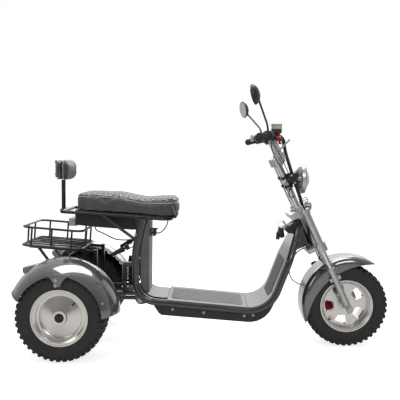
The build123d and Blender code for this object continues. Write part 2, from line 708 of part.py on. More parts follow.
supports = []
for side in (-1, 1):
    y = side * ARM_Y
    low_z = ARM_UPPER_Z + ARM_RADIUS + SEAT_GAP
    support = block((UPRIGHT_X - 9, y - 9, low_z), (UPRIGHT_X + 9, y + 9, 512))
    supports.append(support)
slope = math.tan(math.radians(BASKET_SLOPE))
rest_drop = BASKET_DEPTH + BASKET_ROD + SEAT_GAP + RACK_RADIUS


def rack_z(x):
    """Centre height of the rack tubes, just under the sloping basket floor."""
    return BASKET_TOP_Z - (x - basket_x) * slope - rest_drop / math.cos(math.atan(slope))


for i, side in enumerate((-1, 1)):
    y = side * ARM_Y
    rack_rear = BASKET_REAR_X + 30
    rack = rod((rack_rear, y, rack_z(rack_rear)), (UPRIGHT_X, y, rack_z(UPRIGHT_X)), RACK_RADIUS)
    rack += supports[i]
    rack += rod((-896, y, rack_z(-896)), (REAR_AXLE_X - 20, y, ARM_UPPER_Z + 20), RACK_RADIUS)
    rack += block((REAR_AXLE_X - 30, y - 9, low_z), (REAR_AXLE_X + 10, y + 9, low_z + 40))
    supports[i] = rack
keep("basket_supports", *supports)


# ---------------------------------------------------------------- rear fenders

def arc_centre(p, q, r):
    """Centre of the circle through three (y, radius) points."""
    ax, ay = p
    bx, by = q
    cx, cy = r
    d = 2 * (ax * (by - cy) + bx * (cy - ay) + cx * (ay - by))
    a2 = ax * ax + ay * ay
    b2 = bx * bx + by * by
    c2 = cx * cx + cy * cy
    ux = (a2 * (by - cy) + b2 * (cy - ay) + c2 * (ay - by)) / d
    uy = (a2 * (cx - bx) + b2 * (ax - cx) + c2 * (bx - ax)) / d
    return ux, uy


def arc_strip(points, drop_out, drop_in):
    """A (y, radius) strip between two arcs concentric with the one through three points."""
    cy, cr = arc_centre(*points)
    rows = []
    for drop in (drop_out, drop_in):
        row = []
        for y, radius in points:
            span = math.hypot(y - cy, radius - cr)
            share = (span - drop) / span
            row.append(Vector(0, cy + (y - cy) * share, cr + (radius - cr) * share))
        rows.append(row)
    outer = ThreePointArc(*rows[0])
    inner = ThreePointArc(*rows[1])
    return make_face(outer + Line(outer @ 1, inner @ 1) + inner + Line(inner @ 0, outer @ 0))


def fender_turn(section, low_angle, high_angle):
    """Turn a section about the rear axle between two side-view angles, 0 forward, 90 up."""
    shell = revolve(section, axis=Axis.Y, revolution_arc=-(high_angle - low_angle))
    return Pos(REAR_AXLE_X, 0, TYRE_RADIUS) * Rot(0, 90 - low_angle, 0) * shell


FENDER_INNER = (HALF_TRACK - FENDER_INWARD, TYRE_RADIUS + FENDER_INNER_RISE)
FENDER_CREST = (HALF_TRACK + FENDER_CREST_SHIFT, TYRE_RADIUS + FENDER_CREST_RISE)
FENDER_OUTER = (HALF_TRACK + FENDER_OUTWARD, TYRE_RADIUS - FENDER_EDGE_DROP)
fender_points = [FENDER_INNER, FENDER_CREST, FENDER_OUTER]
shell_left = fender_turn(
    arc_strip(fender_points, 0, FENDER_THICKNESS), FENDER_FRONT_ANGLE, FENDER_REAR_ANGLE
)
shell_left += fender_turn(
    arc_strip(fender_points, -FENDER_LIP, FENDER_THICKNESS),
    FENDER_REAR_ANGLE - FENDER_LIP_TURN, FENDER_REAR_ANGLE,
)
# A pointed tab hangs from the middle of the outer edge over the tyre
tab_side = [(w, FENDER_OUTER[1] - drop) for w, drop in zip(TAB_HALF_WIDTHS, TAB_DROPS)]
tab_ring = [(w, r) for w, r in tab_side] + [(-w, r) for w, r in reversed(tab_side)]
tab_outline = [(REAR_AXLE_X + w, TYRE_RADIUS + r) for w, r in tab_ring]
shell_left += side_plate(
    tab_outline, FENDER_OUTER[0] - FENDER_THICKNESS - 1, FENDER_OUTER[0] - 1, [2, 30, 20, 8, 8, 20, 30, 2]
)
under_shell = fender_turn(
    arc_strip(fender_points, FENDER_THICKNESS, 90), FENDER_FRONT_ANGLE, FENDER_REAR_ANGLE
)
# The rear lamp's wedge stands on the crest and faces back
rear_lamp_z = TYRE_RADIUS + FENDER_CREST[1] - REAR_LAMP_SINK
rear_lamp_x = REAR_AXLE_X - FENDER_CREST[1] * REAR_LAMP_REACH
wedge = side_plate(
    [
        (rear_lamp_x, rear_lamp_z - REAR_LAMP_HEIGHT), (rear_lamp_x, rear_lamp_z),
        (rear_lamp_x + 90, rear_lamp_z + 22), (rear_lamp_x + 90, rear_lamp_z - 60),
    ],
    REAR_LAMP_Y - REAR_LAMP_HALF_WIDTH, REAR_LAMP_Y + REAR_LAMP_HALF_WIDTH,
)
shell_left += wedge - under_shell
keep("rear_fenders", mirrored(shell_left), shell_left)

# One strap bent over each rear tyre carries its fender, on a plate beside the axle housing
stay_half_angle = math.degrees(STAY_WIDTH / 2 / FENDER_CREST[1])
stay_drop = FENDER_THICKNESS + SEAT_GAP
strap = fender_turn(
    arc_strip(fender_points, stay_drop, stay_drop + STAY_THICKNESS),
    90 - stay_half_angle, 90 + stay_half_angle,
)
strap += side_plate(
    [(REAR_AXLE_X - 22, TYRE_RADIUS + 8), (REAR_AXLE_X + 22, TYRE_RADIUS + 8),
     (REAR_AXLE_X + 22, TYRE_RADIUS + FENDER_INNER[1] - 8),
     (REAR_AXLE_X - 22, TYRE_RADIUS + FENDER_INNER[1] - 8)],
    FENDER_INNER[0] - 8, FENDER_INNER[0] - 3,
)
strap += block(
    (REAR_AXLE_X - 22, FENDER_INNER[0] - 8, TYRE_RADIUS + FENDER_INNER[1] - 14),
    (REAR_AXLE_X + 22, FENDER_INNER[0] + 4, TYRE_RADIUS + FENDER_INNER[1] - 6),
)
strap -= housing
strap -= shell_left
strap = strap.solids().sort_by(SortBy.VOLUME)[-1]
keep("fender_stays", mirrored(strap), strap)

reflectors = []
for side in (-1, 1):
    y = side * REAR_LAMP_Y
    lens_half = REAR_LAMP_HALF_WIDTH - 3
    reflector = block(
        (rear_lamp_x - REAR_LENS_THICKNESS, y - lens_half, rear_lamp_z - REAR_LAMP_HEIGHT + 2),
        (rear_lamp_x, y + lens_half, rear_lamp_z - 2),
    )
    reflectors.append(fillet(reflector.edges().filter_by(Axis.X), 4))
keep("rear_reflectors", *reflectors)

# ---------------------------------------------------------------- wheels

LIP_SIDE = [
    (RIM_HALF_WIDTH - RIM_LIP, BEAD_SEAT_RADIUS),
    (RIM_HALF_WIDTH - RIM_LIP, RIM_RADIUS),
    (RIM_HALF_WIDTH, RIM_RADIUS),
    (RIM_HALF_WIDTH, RIM_RADIUS - 6),
]
BARREL_TOP = [(-y, radius) for y, radius in reversed(LIP_SIDE)] + LIP_SIDE
REAR_RIM_PROFILE = BARREL_TOP + [
    (RIM_HALF_WIDTH - 6, RIM_RADIUS - 9),
    (RIM_HALF_WIDTH - 12, 120),
    (RIM_HALF_WIDTH - 24, 117),
    (RIM_HALF_WIDTH - 26, 106),
    (RIM_HALF_WIDTH - 33, 102),
    (RIM_HALF_WIDTH - 22, 60),
    (RIM_HALF_WIDTH - 16, 38),
    (RIM_HALF_WIDTH - 4, 34),
    (RIM_HALF_WIDTH - 4, HUB_BORE),
    (RIM_HALF_WIDTH - 74, HUB_BORE),
    (RIM_HALF_WIDTH - 74, 36),
    (RIM_HALF_WIDTH - 30, 36),
    (RIM_HALF_WIDTH - 30, 60),
    (RIM_HALF_WIDTH - 40, 96),
    (RIM_HALF_WIDTH - 46, BEAD_SEAT_RADIUS - 5),
    (-RIM_HALF_WIDTH + 10, BEAD_SEAT_RADIUS - 5),
]
FRONT_BARREL = BARREL_TOP + [
    (RIM_HALF_WIDTH - 12, BEAD_SEAT_RADIUS - 6),
    (-RIM_HALF_WIDTH + 12, BEAD_SEAT_RADIUS - 6),
]


def tyre(x, y):
    """A tyre of flat facets: shoulder lugs with gaps as wide between them, staggered side to side."""
    stations = 2 * LUGS
    step = 2 * math.pi / stations
    bead_y = RIM_HALF_WIDTH - RIM_LIP - SEAT_GAP
    bead_radius = (BEAD_SEAT_RADIUS + SEAT_GAP) / math.cos(step)
    crown_radius = TYRE_RADIUS - LUG_HEIGHT
    shoulder_y = TYRE_HALF_WIDTH - 1
    shoulder_radius = TYRE_RADIUS - SHOULDER_DROP
    tip_radius = TYRE_RADIUS - LUG_CHAMFER
    flank_radius = (shoulder_radius + RIM_RADIUS) / 2 + 7

    def point(side, across, radius, station):
        angle = station * step - math.pi / 2
        return Vector(radius * math.cos(angle), side * across, radius * math.sin(angle))

    faces = []

    def add(*corners):
        faces.append(Face(Wire.make_polygon(corners, close=True)))

    for i in range(0, stations, 2):
        add(*[point(side, bead_y, bead_radius, j) for side, j in ((1, i), (1, i + 2), (-1, i + 2), (-1, i))])
    for i in range(stations):
        crown = ((1, i), (1, i + 1), (-1, i + 1), (-1, i))
        add(*[point(side, LUG_INNER_Y, crown_radius, j) for side, j in crown])
    for side in (-1, 1):
        for i in range(0, stations, 2):
            bead = [point(side, bead_y, bead_radius, j) for j in (i, i + 2)]
            lip = [point(side, bead_y, RIM_RADIUS + 1.5, j) for j in (i, i + 2)]
            flank = [point(side, TYRE_HALF_WIDTH, flank_radius, j) for j in (i, i + 2)]
            shoulder = [point(side, shoulder_y, shoulder_radius, j) for j in (i, i + 1, i + 2)]
            add(bead[0], bead[1], lip[1], lip[0])
            add(lip[0], lip[1], flank[1], flank[0])
            add(flank[0], shoulder[0], shoulder[1])
            add(flank[0], shoulder[1], flank[1])
            add(flank[1], shoulder[1], shoulder[2])
            # One lug and one gap, swapped on the other side
            first = i if side == 1 else i + 1
            rows = []
            for j in (first, first + 1, first + 2):
                rows.append((
                    point(side, shoulder_y, shoulder_radius, j), point(side, shoulder_y, tip_radius, j),
                    point(side, LUG_INNER_Y, TYRE_RADIUS, j), point(side, LUG_INNER_Y, crown_radius, j),
                ))
            for k in range(3):
                add(rows[0][k], rows[1][k], rows[1][k + 1], rows[0][k + 1])
            add(*rows[0])
            add(*rows[1])
            add(rows[1][0], rows[2][0], rows[2][3], rows[1][3])
    return Pos(x, y, TYRE_RADIUS) * Solid(Shell(faces))


for side, hand in ((-1, "right"), (1, "left")):
    keep("rear_tyre_" + hand, tyre(REAR_AXLE_X, side * HALF_TRACK))
    profile = [(side * y, radius) for y, radius in REAR_RIM_PROFILE]
    keep("rear_rim_" + hand, turned(profile, REAR_AXLE_X, side * HALF_TRACK, TYRE_RADIUS))

keep("front_tyre", tyre(FRONT_AXLE_X, 0))


def wheel_disc(radius, half_width, y=0):
    return Pos(FRONT_AXLE_X, y, TYRE_RADIUS) * Rot(90, 0, 0) * Cylinder(radius, 2 * half_width)


front_rim = turned(FRONT_BARREL, FRONT_AXLE_X, 0, TYRE_RADIUS)
front_rim += wheel_disc(BEAD_SEAT_RADIUS - 4, WEB_HALF, WEB_Y)
front_rim += wheel_disc(HUB_RADIUS, HUB_HALF)
front_rim -= wheel_disc(HUB_BORE, 200)
window_corners = [
    (WINDOW_RADII[0], -WINDOW_HALF_WIDTHS[0]), (WINDOW_RADII[1], -WINDOW_HALF_WIDTHS[1]),
    (WINDOW_RADII[1], WINDOW_HALF_WIDTHS[1]), (WINDOW_RADII[0], WINDOW_HALF_WIDTHS[0]),
]
window = side_plate(window_corners, WEB_Y - 2 * WEB_HALF, WEB_Y + 2 * WEB_HALF, WINDOW_CORNER)
for i in range(WINDOWS):
    turn = WINDOW_TURN + i * 360.0 / WINDOWS
    front_rim -= Pos(FRONT_AXLE_X, 0, TYRE_RADIUS) * Rot(0, -turn, 0) * window
keep("front_rim", front_rim)
disc_y = HUB_HALF + DISC_HALF
keep("brake_disc", wheel_disc(DISC_RADIUS, DISC_HALF, disc_y) - wheel_disc(HUB_BORE, 5, disc_y))

# ---------------------------------------------------------------- fork and steering

sides = (-1, 1)


def yoke_plate(s, thickness, low_x, high_x, half_width):
    plate = Pos((low_x + high_x) / 2, 0, s) * Box(high_x - low_x, 2 * half_width, thickness)
    return STEER * fillet(plate.edges().filter_by(Axis.Z), 12)


stem = fork_rod(0, 0, LOWER_YOKE_S, UPPER_YOKE_S + 25, STEM_RADIUS)
lower_yoke = yoke_plate(LOWER_YOKE_S, 22, -28, FORK_OFFSET + 8, LEG_Y) + stem
upper_yoke = yoke_plate(UPPER_YOKE_S, 30, -34, 30, LEG_Y)
upper_yoke -= stem
riser_x = FORK_OFFSET - RISER_SETBACK
top_yoke = yoke_plate(TOP_YOKE_S, 30, 4, 66, RISER_Y)
covers = []
stanchions = []
sliders = []
risers = []
for side in sides:
    y = side * LEG_Y
    lower_yoke += fork_rod(FORK_OFFSET, y, LOWER_YOKE_S - 23, LOWER_YOKE_S + 23, COLLAR_RADIUS)
    upper_yoke += fork_rod(FORK_OFFSET, y, UPPER_YOKE_S - 15, UPPER_YOKE_S + 12, COVER_RADIUS + 4)
    upper_yoke += fork_rod(riser_x, side * RISER_Y, UPPER_YOKE_S - 28, UPPER_YOKE_S + 30, RISER_RADIUS + 9)
    top_yoke += fork_rod(riser_x, side * RISER_Y, TOP_YOKE_S - 22, TOP_YOKE_S + 22, RISER_RADIUS + 12)
    top_yoke += fork_rod(POST_X, side * RISER_Y, TOP_YOKE_S, TOP_YOKE_S + 36, 24)
for side in sides:
    y = side * LEG_Y
    stanchion = fork_rod(FORK_OFFSET, y, 60, UPPER_YOKE_S + 12, STANCHION_RADIUS)
    stanchions.append(stanchion)
    lower_yoke -= stanchion
    upper_yoke -= stanchion
    cover = fork_rod(FORK_OFFSET, y, LOWER_YOKE_S + 23, UPPER_YOKE_S - 15, COVER_RADIUS)
    covers.append(cover - stanchion)
    slider = fork_rod(FORK_OFFSET, y, -24, SLIDER_TOP_S, SLIDER_RADIUS)
    slider += fork_rod(FORK_OFFSET, y, SLIDER_TOP_S - 16, SLIDER_TOP_S, SLIDER_RADIUS + 3)
    pad_face = side * (FRONT_FENDER_HALF_WIDTH + SEAT_GAP)
    slider += fork_box((FORK_OFFSET - 30, FORK_OFFSET + 30), (pad_face, side * LEG_Y), (160, 180))
    if side == 1:
        slider += fork_box((-34, FORK_OFFSET), (84, 100), (-10, 12))
    slider -= stanchion
    slider -= rod(FRONT_AXLE - Vector(0, 200, 0), FRONT_AXLE + Vector(0, 200, 0), AXLE_RADIUS)
    sliders.append(slider)
    riser = fork_rod(riser_x, side * RISER_Y, UPPER_YOKE_S + 4, TOP_YOKE_S + 22, RISER_RADIUS)
    risers.append(riser)
    upper_yoke -= riser
    top_yoke -= riser
keep("lower_yoke", lower_yoke)
keep("upper_yoke", upper_yoke)
keep("fork_stanchions", *stanchions)
keep("fork_covers", *covers)
keep("fork_sliders", *sliders)
keep("riser_tubes", *risers)
axle_half = LEG_Y + SLIDER_RADIUS + 8
axle_reach = Vector(0, axle_half, 0)
keep("front_axle", rod(FRONT_AXLE - axle_reach, FRONT_AXLE + axle_reach, AXLE_RADIUS))
caliper = fork_box((-52, -8), (DISC_HALF + disc_y + 22, HUB_HALF - 16), (-24, 26))
caliper -= wheel_disc(DISC_RADIUS + 4, DISC_HALF + 1.5, disc_y)
keep("brake_caliper", caliper - sliders[1])

# Handlebar: straight over the clamps, then swept back to the grips
bar_points = [
    Vector(GRIP_END[0], -GRIP_END[1], GRIP_END[2]),
    Vector(GRIP_INNER[0], -GRIP_INNER[1], GRIP_INNER[2]),
    at(BAR_CENTRE, -BAR_STRAIGHT),
    at(BAR_CENTRE, BAR_STRAIGHT),
    Vector(*GRIP_INNER),
    Vector(*GRIP_END),
]
handlebar = bent_rod(bar_points, [60.0, 70.0, 70.0, 60.0], BAR_RADIUS)
keep("handlebar", handlebar)
grips = []
controls = []
for side in sides:
    inner = Vector(GRIP_INNER[0], side * GRIP_INNER[1], GRIP_INNER[2])
    outer = Vector(GRIP_END[0], side * GRIP_END[1], GRIP_END[2])
    along = (outer - inner).normalized()
    grip = rod(inner + along * 18, outer + along * 4, GRIP_RADIUS)
    grip += rod(inner + along * 18, inner + along * 22, GRIP_RADIUS + 8)
    grips.append(grip - handlebar)
    root = at(BAR_CENTRE, side * BAR_STRAIGHT)
    out = (inner - root).normalized()
    pod = rod(inner - out * 26, inner + along * 8, SWITCH_RADIUS)
    pod += rod(root + out * 62, root + out * 92, 17)
    lever_root = root + out * 77 + Vector(34, 0, -4)
    pod += rod(root + out * 77, lever_root, 8)
    lever_tip = lever_root + Vector(-8, side * 150, -10)
    pod += rod(lever_root, lever_tip, 5)
    pod += Pos(*lever_tip) * Sphere(8)
    mirror_root = root + out * 77 + Vector(-20, 0, 24)
    pod += rod(root + out * 77, mirror_root, 8)
    if side == -1:
        pod += rod(root + out * 34, root + out * 60, 16)
        pod += block((336, -154, 1108), (364, -126, 1136))
        pod += block((322, -164, 1134), (372, -118, 1168))
    controls.append(pod - handlebar)
    post = fork_rod(POST_X, side * RISER_Y, TOP_YOKE_S + 10, TOP_YOKE_S + 92, POST_RADIUS_HIGH)
    post_top = fork(POST_X, side * RISER_Y, TOP_YOKE_S + 92)
    bar_here = at(BAR_CENTRE, side * RISER_Y)
    top_yoke += post + rod(post_top, bar_here, 12)
    top_yoke += rod(bar_here - Vector(0, 18, 0), bar_here + Vector(0, 18, 0), BAR_RADIUS + 8)
top_yoke -= handlebar
for riser in risers:
    top_yoke -= riser
keep("top_yoke", top_yoke)
keep("grips", *grips)
keep("hand_controls", *controls)

# Mirrors on stalks from the inner ends of the grips
mirrors = []
glasses = []
for side in sides:
    root = at(BAR_CENTRE, side * BAR_STRAIGHT)
    inner = Vector(GRIP_INNER[0], side * GRIP_INNER[1], GRIP_INNER[2])
    out = (inner - root).normalized()
    base = root + out * 77 + Vector(-20, 0, 24)
    knee = base + Vector(-6, side * 12, 40)
    centre = Vector(MIRROR_CENTRE[0], side * MIRROR_CENTRE[1], MIRROR_CENTRE[2])
    facing = Vector(-1, 0, -math.tan(math.radians(MIRROR_LEAN)))
    facing = facing.rotate(Axis.Z, side * MIRROR_TOE_IN).normalized()
    stalk_end = centre - facing * (MIRROR_DOME / 2)
    elbow = stalk_end - Vector(-14, side * 20, 34)
    stalk = bent_rod([base, knee, elbow], [60.0], STALK_RADIUS)
    stalk += rod(elbow, stalk_end, STALK_RADIUS)
    dome_back = Vector(0, 0, -MIRROR_DOME)
    dome_side = Vector(MIRROR_RADIUS * 0.78, 0, -MIRROR_DOME * 0.55)
    rim_back = Vector(MIRROR_RADIUS, 0, 0)
    rim_front = Vector(MIRROR_RADIUS, 0, MIRROR_RIM)
    outline = ThreePointArc(dome_back, dome_side, rim_back) + Line(rim_back, rim_front)
    outline += Line(rim_front, (0, 0, MIRROR_RIM)) + Line((0, 0, MIRROR_RIM), dome_back)
    head = Plane(origin=centre, z_dir=facing) * revolve(make_face(outline), axis=Axis.Z)
    mirror_body = stalk + head
    for pod in controls:
        mirror_body -= pod
    mirrors.append(mirror_body)
    face = centre + facing * (MIRROR_RIM + GLASS_THICKNESS / 2)
    glasses.append(Plane(origin=face, z_dir=facing) * Cylinder(MIRROR_RADIUS - 4, GLASS_THICKNESS))
keep("mirrors", *mirrors)
keep("mirror_glasses", *glasses)

# Headlight, its bracket and the horn
lamp_x, lamp_z = LAMP_CENTRE
bucket_profile = [
    (LAMP_DEPTH, 0), (LAMP_DEPTH, LAMP_RADIUS - LAMP_RIM), (LAMP_DEPTH - 2, LAMP_RADIUS),
    (LAMP_DEPTH - 10, LAMP_RADIUS), (LAMP_DEPTH - 12, LAMP_RADIUS - LAMP_RIM),
    (14, 60), (3, 42), (0, 20), (0, 0),
]
bucket = revolve(
    make_face(Polyline(*[Vector(x, 0, r) for x, r in bucket_profile], close=True)), axis=Axis.X
)
bucket = Pos(lamp_x - LAMP_DEPTH + 6, 0, lamp_z) * bucket
bolt_x, bolt_z = LAMP_BOLT
bucket += rod((bolt_x, -LAMP_RADIUS - 2, bolt_z), (bolt_x, LAMP_RADIUS + 2, bolt_z), 7)
keep("headlight_bucket", bucket)
cap_radius = (LENS_RADIUS ** 2 + LENS_DEPTH ** 2) / (2 * LENS_DEPTH)
cap_turn = math.asin(LENS_RADIUS / cap_radius) / 2
lens_middle = Vector(LENS_DEPTH - cap_radius * (1 - math.cos(cap_turn)), 0, cap_radius * math.sin(cap_turn))
lens_rim = Vector(0, 0, LENS_RADIUS)
lens_nose = Vector(LENS_DEPTH, 0, 0)
lens_edge = Line((0, 0, 0), lens_rim) + ThreePointArc(lens_rim, lens_middle, lens_nose)
lens_edge += Line(lens_nose, (0, 0, 0))
lens = Pos(lamp_x + 6 + SEAT_GAP, 0, lamp_z) * revolve(make_face(lens_edge), axis=Axis.X)
keep("headlight_lens", lens)

bracket_s = 700
bracket = fork_box((42, 46), (-LAMP_RADIUS - 6, LAMP_RADIUS + 6), (bracket_s, bracket_s + 80))
for side in sides:
    inner_y = side * (LAMP_RADIUS + 2 + SEAT_GAP)
    outer_y = side * (LAMP_RADIUS + 6)
    bracket += fork_box((42, 96), (inner_y, outer_y), (bracket_s + 15, bracket_s + 65))
    for s in (bracket_s + 16, bracket_s + 64):
        bracket += fork_rod(riser_x, side * RISER_Y, s - 8, s + 8, RISER_RADIUS + 4)
        bracket += fork_box((riser_x, 44), (side * RISER_Y - 8, side * RISER_Y + 8), (s - 8, s + 8))
for riser in risers:
    bracket -= riser
bracket -= bucket
keep("headlight_bracket", bracket)

horn_at = fork(HORN_ACROSS, HORN_Y, UPPER_YOKE_S + 6)
horn_front = horn_at + Vector(24, 0, 0)
horn = rod(horn_at, horn_front, 27) + rod(horn_front, horn_front + Vector(8, 0, 0), 20)
horn += fork_box(
    (30 + SEAT_GAP, HORN_ACROSS + 8), (HORN_Y - 9, HORN_Y + 9), (UPPER_YOKE_S + 2, UPPER_YOKE_S + 6)
)
keep("horn", horn)

# ---------------------------------------------------------------- front fender

fx = FRONT_AXLE_X + FRONT_FENDER_SHIFT[0]
fz = TYRE_RADIUS + FRONT_FENDER_SHIFT[1]
front_fender_radius = TYRE_RADIUS + FRONT_FENDER_CLEARANCE
low_radius = front_fender_radius - FRONT_FENDER_SKIRT


def fender_section(half_width, radius, corner):
    corners = [
        Vector(0, -half_width, low_radius),
        Vector(0, -half_width, radius),
        Vector(0, half_width, radius),
        Vector(0, half_width, low_radius),
    ]
    return FilletPolyline(*corners, radius=[corner, corner])


section_outer = fender_section(FRONT_FENDER_HALF_WIDTH, front_fender_radius, FRONT_FENDER_CORNER)
section_inner = fender_section(
    FRONT_FENDER_HALF_WIDTH - FENDER_THICKNESS, front_fender_radius - FENDER_THICKNESS,
    FRONT_FENDER_CORNER - FENDER_THICKNESS,
)
section = make_face(
    section_outer + Line(section_outer @ 1, section_inner @ 1)
    + section_inner + Line(section_inner @ 0, section_outer @ 0)
)
front_fender = Pos(fx, 0, fz) * revolve(section, axis=Axis.Y)
trim_x = FRONT_AXLE_X + FENDER_TRIM_SHIFT[0]
trim_z = TYRE_RADIUS + FENDER_TRIM_SHIFT[1]
trim = Cylinder(front_fender_radius + FENDER_TRIM_MARGIN, 4 * FRONT_FENDER_HALF_WIDTH)
front_fender -= Pos(trim_x, 0, trim_z) * Rot(90, 0, 0) * trim
keep("front_fender", front_fender.solids().sort_by(SortBy.VOLUME)[-1])


# ---------------------------------------------------------------- cords held along their way

def cord(points, radius, name):
    """Straight runs joined by arcs as large as the two runs at each corner allow."""
    parts = []
    radii = []
    last = points[0]
    for a, b, c in zip(points, points[1:], points[2:]):
        before = (b - a).normalized()
        after = (c - b).normalized()
        half_turn = math.radians(before.get_angle(after)) / 2
        reach = 0.45 * min((b - a).length, (c - b).length)
        bend = reach / math.tan(half_turn)
        radii.append(round(bend))
        start = b - before * reach
        end = b + after * reach
        middle = b + (after - before).normalized() * bend * (1 / math.cos(half_turn) - 1)
        parts += [Line(last, start), ThreePointArc(start, middle, end)]
        last = end
    parts.append(Line(last, points[-1]))
    print(name, "bend radii", radii)
    path = Wire(parts)
    return sweep(Plane(origin=path @ 0, z_dir=path % 0) * Circle(radius), path=path)


conduit_points = [
    Vector(350, -126 + SEAT_GAP, 1124), Vector(350, -106, 1124),
    Vector(374, -84, 1122), Vector(395, -62, 1104),
    fork(95, -40, 925), fork(84, -34, 870), fork(74, -52, 800), fork(64, -60, 720), fork(60, -52, 655),
    fork(55, -32, 590), fork(44, -17, 505), fork(38, -20, 460), fork(20, -34, 422), fork(14, -38, 398),
    fork(14, -38, LOWER_YOKE_S + 11 + SEAT_GAP),
]
keep("wiring_conduit", cord(conduit_points, CONDUIT_RADIUS, "conduit"))
hose_points = [
    fork(-28 - SEAT_GAP, 30, 357), fork(-60, 30, 357), fork(-98, 33, 334), fork(-134, 38, 301),
    fork(-156, 46, 258), fork(-157, 60, 218), fork(-138, 82, 182), fork(-108, 101, 146),
    fork(-76, 108, 108), fork(-50, 98, 74), fork(-30, 76, 54), fork(-30, 76, 26 + SEAT_GAP),
]
keep("brake_hose", cord(hose_points, HOSE_RADIUS, "brake hose"))
seat_cable_points = [
    Vector(-598, -80, 631.0), Vector(-592, -81, 614), Vector(-562, -84, 602), Vector(-524, -86, 584),
    Vector(-490, -88, 568), Vector(-452, -90, 564), Vector(-414, -92, 566), Vector(-386, -94, 570),
    Vector(column_back_x(574) - 1, -95, 574),
]
keep("seat_cable", cord(seat_cable_points, HOSE_RADIUS, "seat cable"))

latch_cable_points = [
    Vector(COLUMN_FRONT_X + SEAT_GAP + LATCH_DEPTH, LATCH_Y, 597), Vector(-262, LATCH_Y, 597),
    Vector(-245, LATCH_Y, 604), Vector(-229, LATCH_Y, 621), Vector(-217, LATCH_Y + 1, 643),
    Vector(-212, LATCH_Y + 2, 667), Vector(-212, LATCH_Y + 2, rail_z(-212) + base_low - 1),
]
keep("latch_cable", cord(latch_cable_points, HOSE_RADIUS, "latch cable"))

# ---------------------------------------------------------------- pillion pegs

brackets = []
for side, hand in ((-1, "right"), (1, "left")):
    y = side * PEG_Y
    pivot = at(PEG_PIVOT, y)
    tip = at(PEG_TIP, y)
    along = (tip - pivot).normalized()
    pin_axis = Vector(along.Z, 0, -along.X)
    eye = rod(pivot - pin_axis * PEG_EYE_HALF, pivot + pin_axis * PEG_EYE_HALF, PEG_EYE_RADIUS)
    peg = eye + rod(pivot, pivot + along * 22, 7)
    peg_length = (tip - pivot).length - 20
    foot = (Align.CENTER, Align.CENTER, Align.MIN)
    taper = Cone(PEG_RADIUS, PEG_TIP_RADIUS, peg_length, align=foot)
    peg += Plane(origin=pivot + along * 20, z_dir=along) * taper
    peg -= rod(pivot - pin_axis * 30, pivot + pin_axis * 30, PEG_PIN_RADIUS + RUN_CLEARANCE)
    keep("peg_" + hand, peg)
    pin_half = PEG_EYE_HALF + 6
    bracket = rod(pivot - pin_axis * pin_half, pivot + pin_axis * pin_half, PEG_PIN_RADIUS)
    for end in (-1, 1):
        low = pivot + pin_axis * end * (PEG_EYE_HALF + SEAT_GAP)
        high = low + pin_axis * end * 6
        bracket += rod(low, high, PEG_EYE_RADIUS)
        reach = (low + high) / 2
        bracket += rod(reach, reach - along * 34, 2.6)
    brackets.append((bracket - side_tubes[hand]).solids().sort_by(SortBy.VOLUME)[-1])
keep("peg_brackets", *brackets)

for name, shape in nodes.items():
    export_step(shape, "parts/" + name + ".step")
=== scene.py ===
import math

import bmesh
import bpy
import numpy as np
from mathutils import Matrix, Vector
from mathutils.bvhtree import BVHTree


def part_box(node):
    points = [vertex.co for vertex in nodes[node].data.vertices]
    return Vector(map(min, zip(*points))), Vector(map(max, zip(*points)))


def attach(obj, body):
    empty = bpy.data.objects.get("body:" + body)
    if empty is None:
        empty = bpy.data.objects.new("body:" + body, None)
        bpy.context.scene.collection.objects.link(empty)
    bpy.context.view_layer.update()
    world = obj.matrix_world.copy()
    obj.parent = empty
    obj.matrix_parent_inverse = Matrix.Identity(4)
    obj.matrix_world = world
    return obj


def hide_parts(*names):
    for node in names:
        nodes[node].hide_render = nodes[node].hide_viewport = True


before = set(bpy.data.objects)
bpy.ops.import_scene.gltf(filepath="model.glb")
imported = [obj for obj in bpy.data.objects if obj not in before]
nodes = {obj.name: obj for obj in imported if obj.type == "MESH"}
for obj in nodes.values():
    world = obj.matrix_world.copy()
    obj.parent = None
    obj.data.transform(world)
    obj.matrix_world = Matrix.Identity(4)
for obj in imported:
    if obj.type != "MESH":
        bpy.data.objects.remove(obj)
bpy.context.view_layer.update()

# Looks of an electric tricycle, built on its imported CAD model. Places are in metres in the
# model's own frame: X forward, Y to the rider's left, Z up, and the ground at Z = 0. The sizes
# given to a Form's turned, tube, ring, slab and bolt are in millimetres.

MM = 0.001
WHEELS = {
    "front_tyre": "front_wheel",
    "rear_tyre_right": "rear_wheel_right",
    "rear_tyre_left": "rear_wheel_left",
}


# ---- material helpers

class Nodes:
    """Adds and links the nodes of one tree."""

    def __init__(self, tree):
        self.tree = tree

    def add(self, kind, **settings):
        node = self.tree.nodes.new(kind)
        for key, value in settings.items():
            setattr(node, key, value)
        return node

    def link(self, source, target):
        self.tree.links.new(source, target)

    def math(self, operation, *values):
        """A sum on sockets or numbers; a value that isn't given is 0.5."""
        node = self.add("ShaderNodeMath", operation=operation)
        for socket, value in zip(node.inputs, values):
            if isinstance(value, (int, float)):
                socket.default_value = value
            else:
                self.link(value, socket)
        return node.outputs[0]

    def separated(self, vector):
        node = self.add("ShaderNodeSeparateXYZ")
        self.link(vector, node.inputs[0])
        return node.outputs

    def ramp(self, factor, stops):
        node = self.add("ShaderNodeValToRGB")
        elements = node.color_ramp.elements
        while len(elements) < len(stops):
            elements.new(0.5)
        for element, (place, colour) in zip(elements, stops):
            element.position = place
            element.color = (*colour, 1.0)
        self.link(factor, node.inputs["Fac"])
        return node.outputs["Color"]

    def spread(self, factor, from_low, from_high, low, high):
        """Stretches one range of a factor to another, and holds it there."""
        node = self.add("ShaderNodeMapRange")
        given = {"From Min": from_low, "From Max": from_high, "To Min": low, "To Max": high}
        for socket, value in given.items():
            node.inputs[socket].default_value = value
        self.link(factor, node.inputs["Value"])
        return node.outputs["Result"]


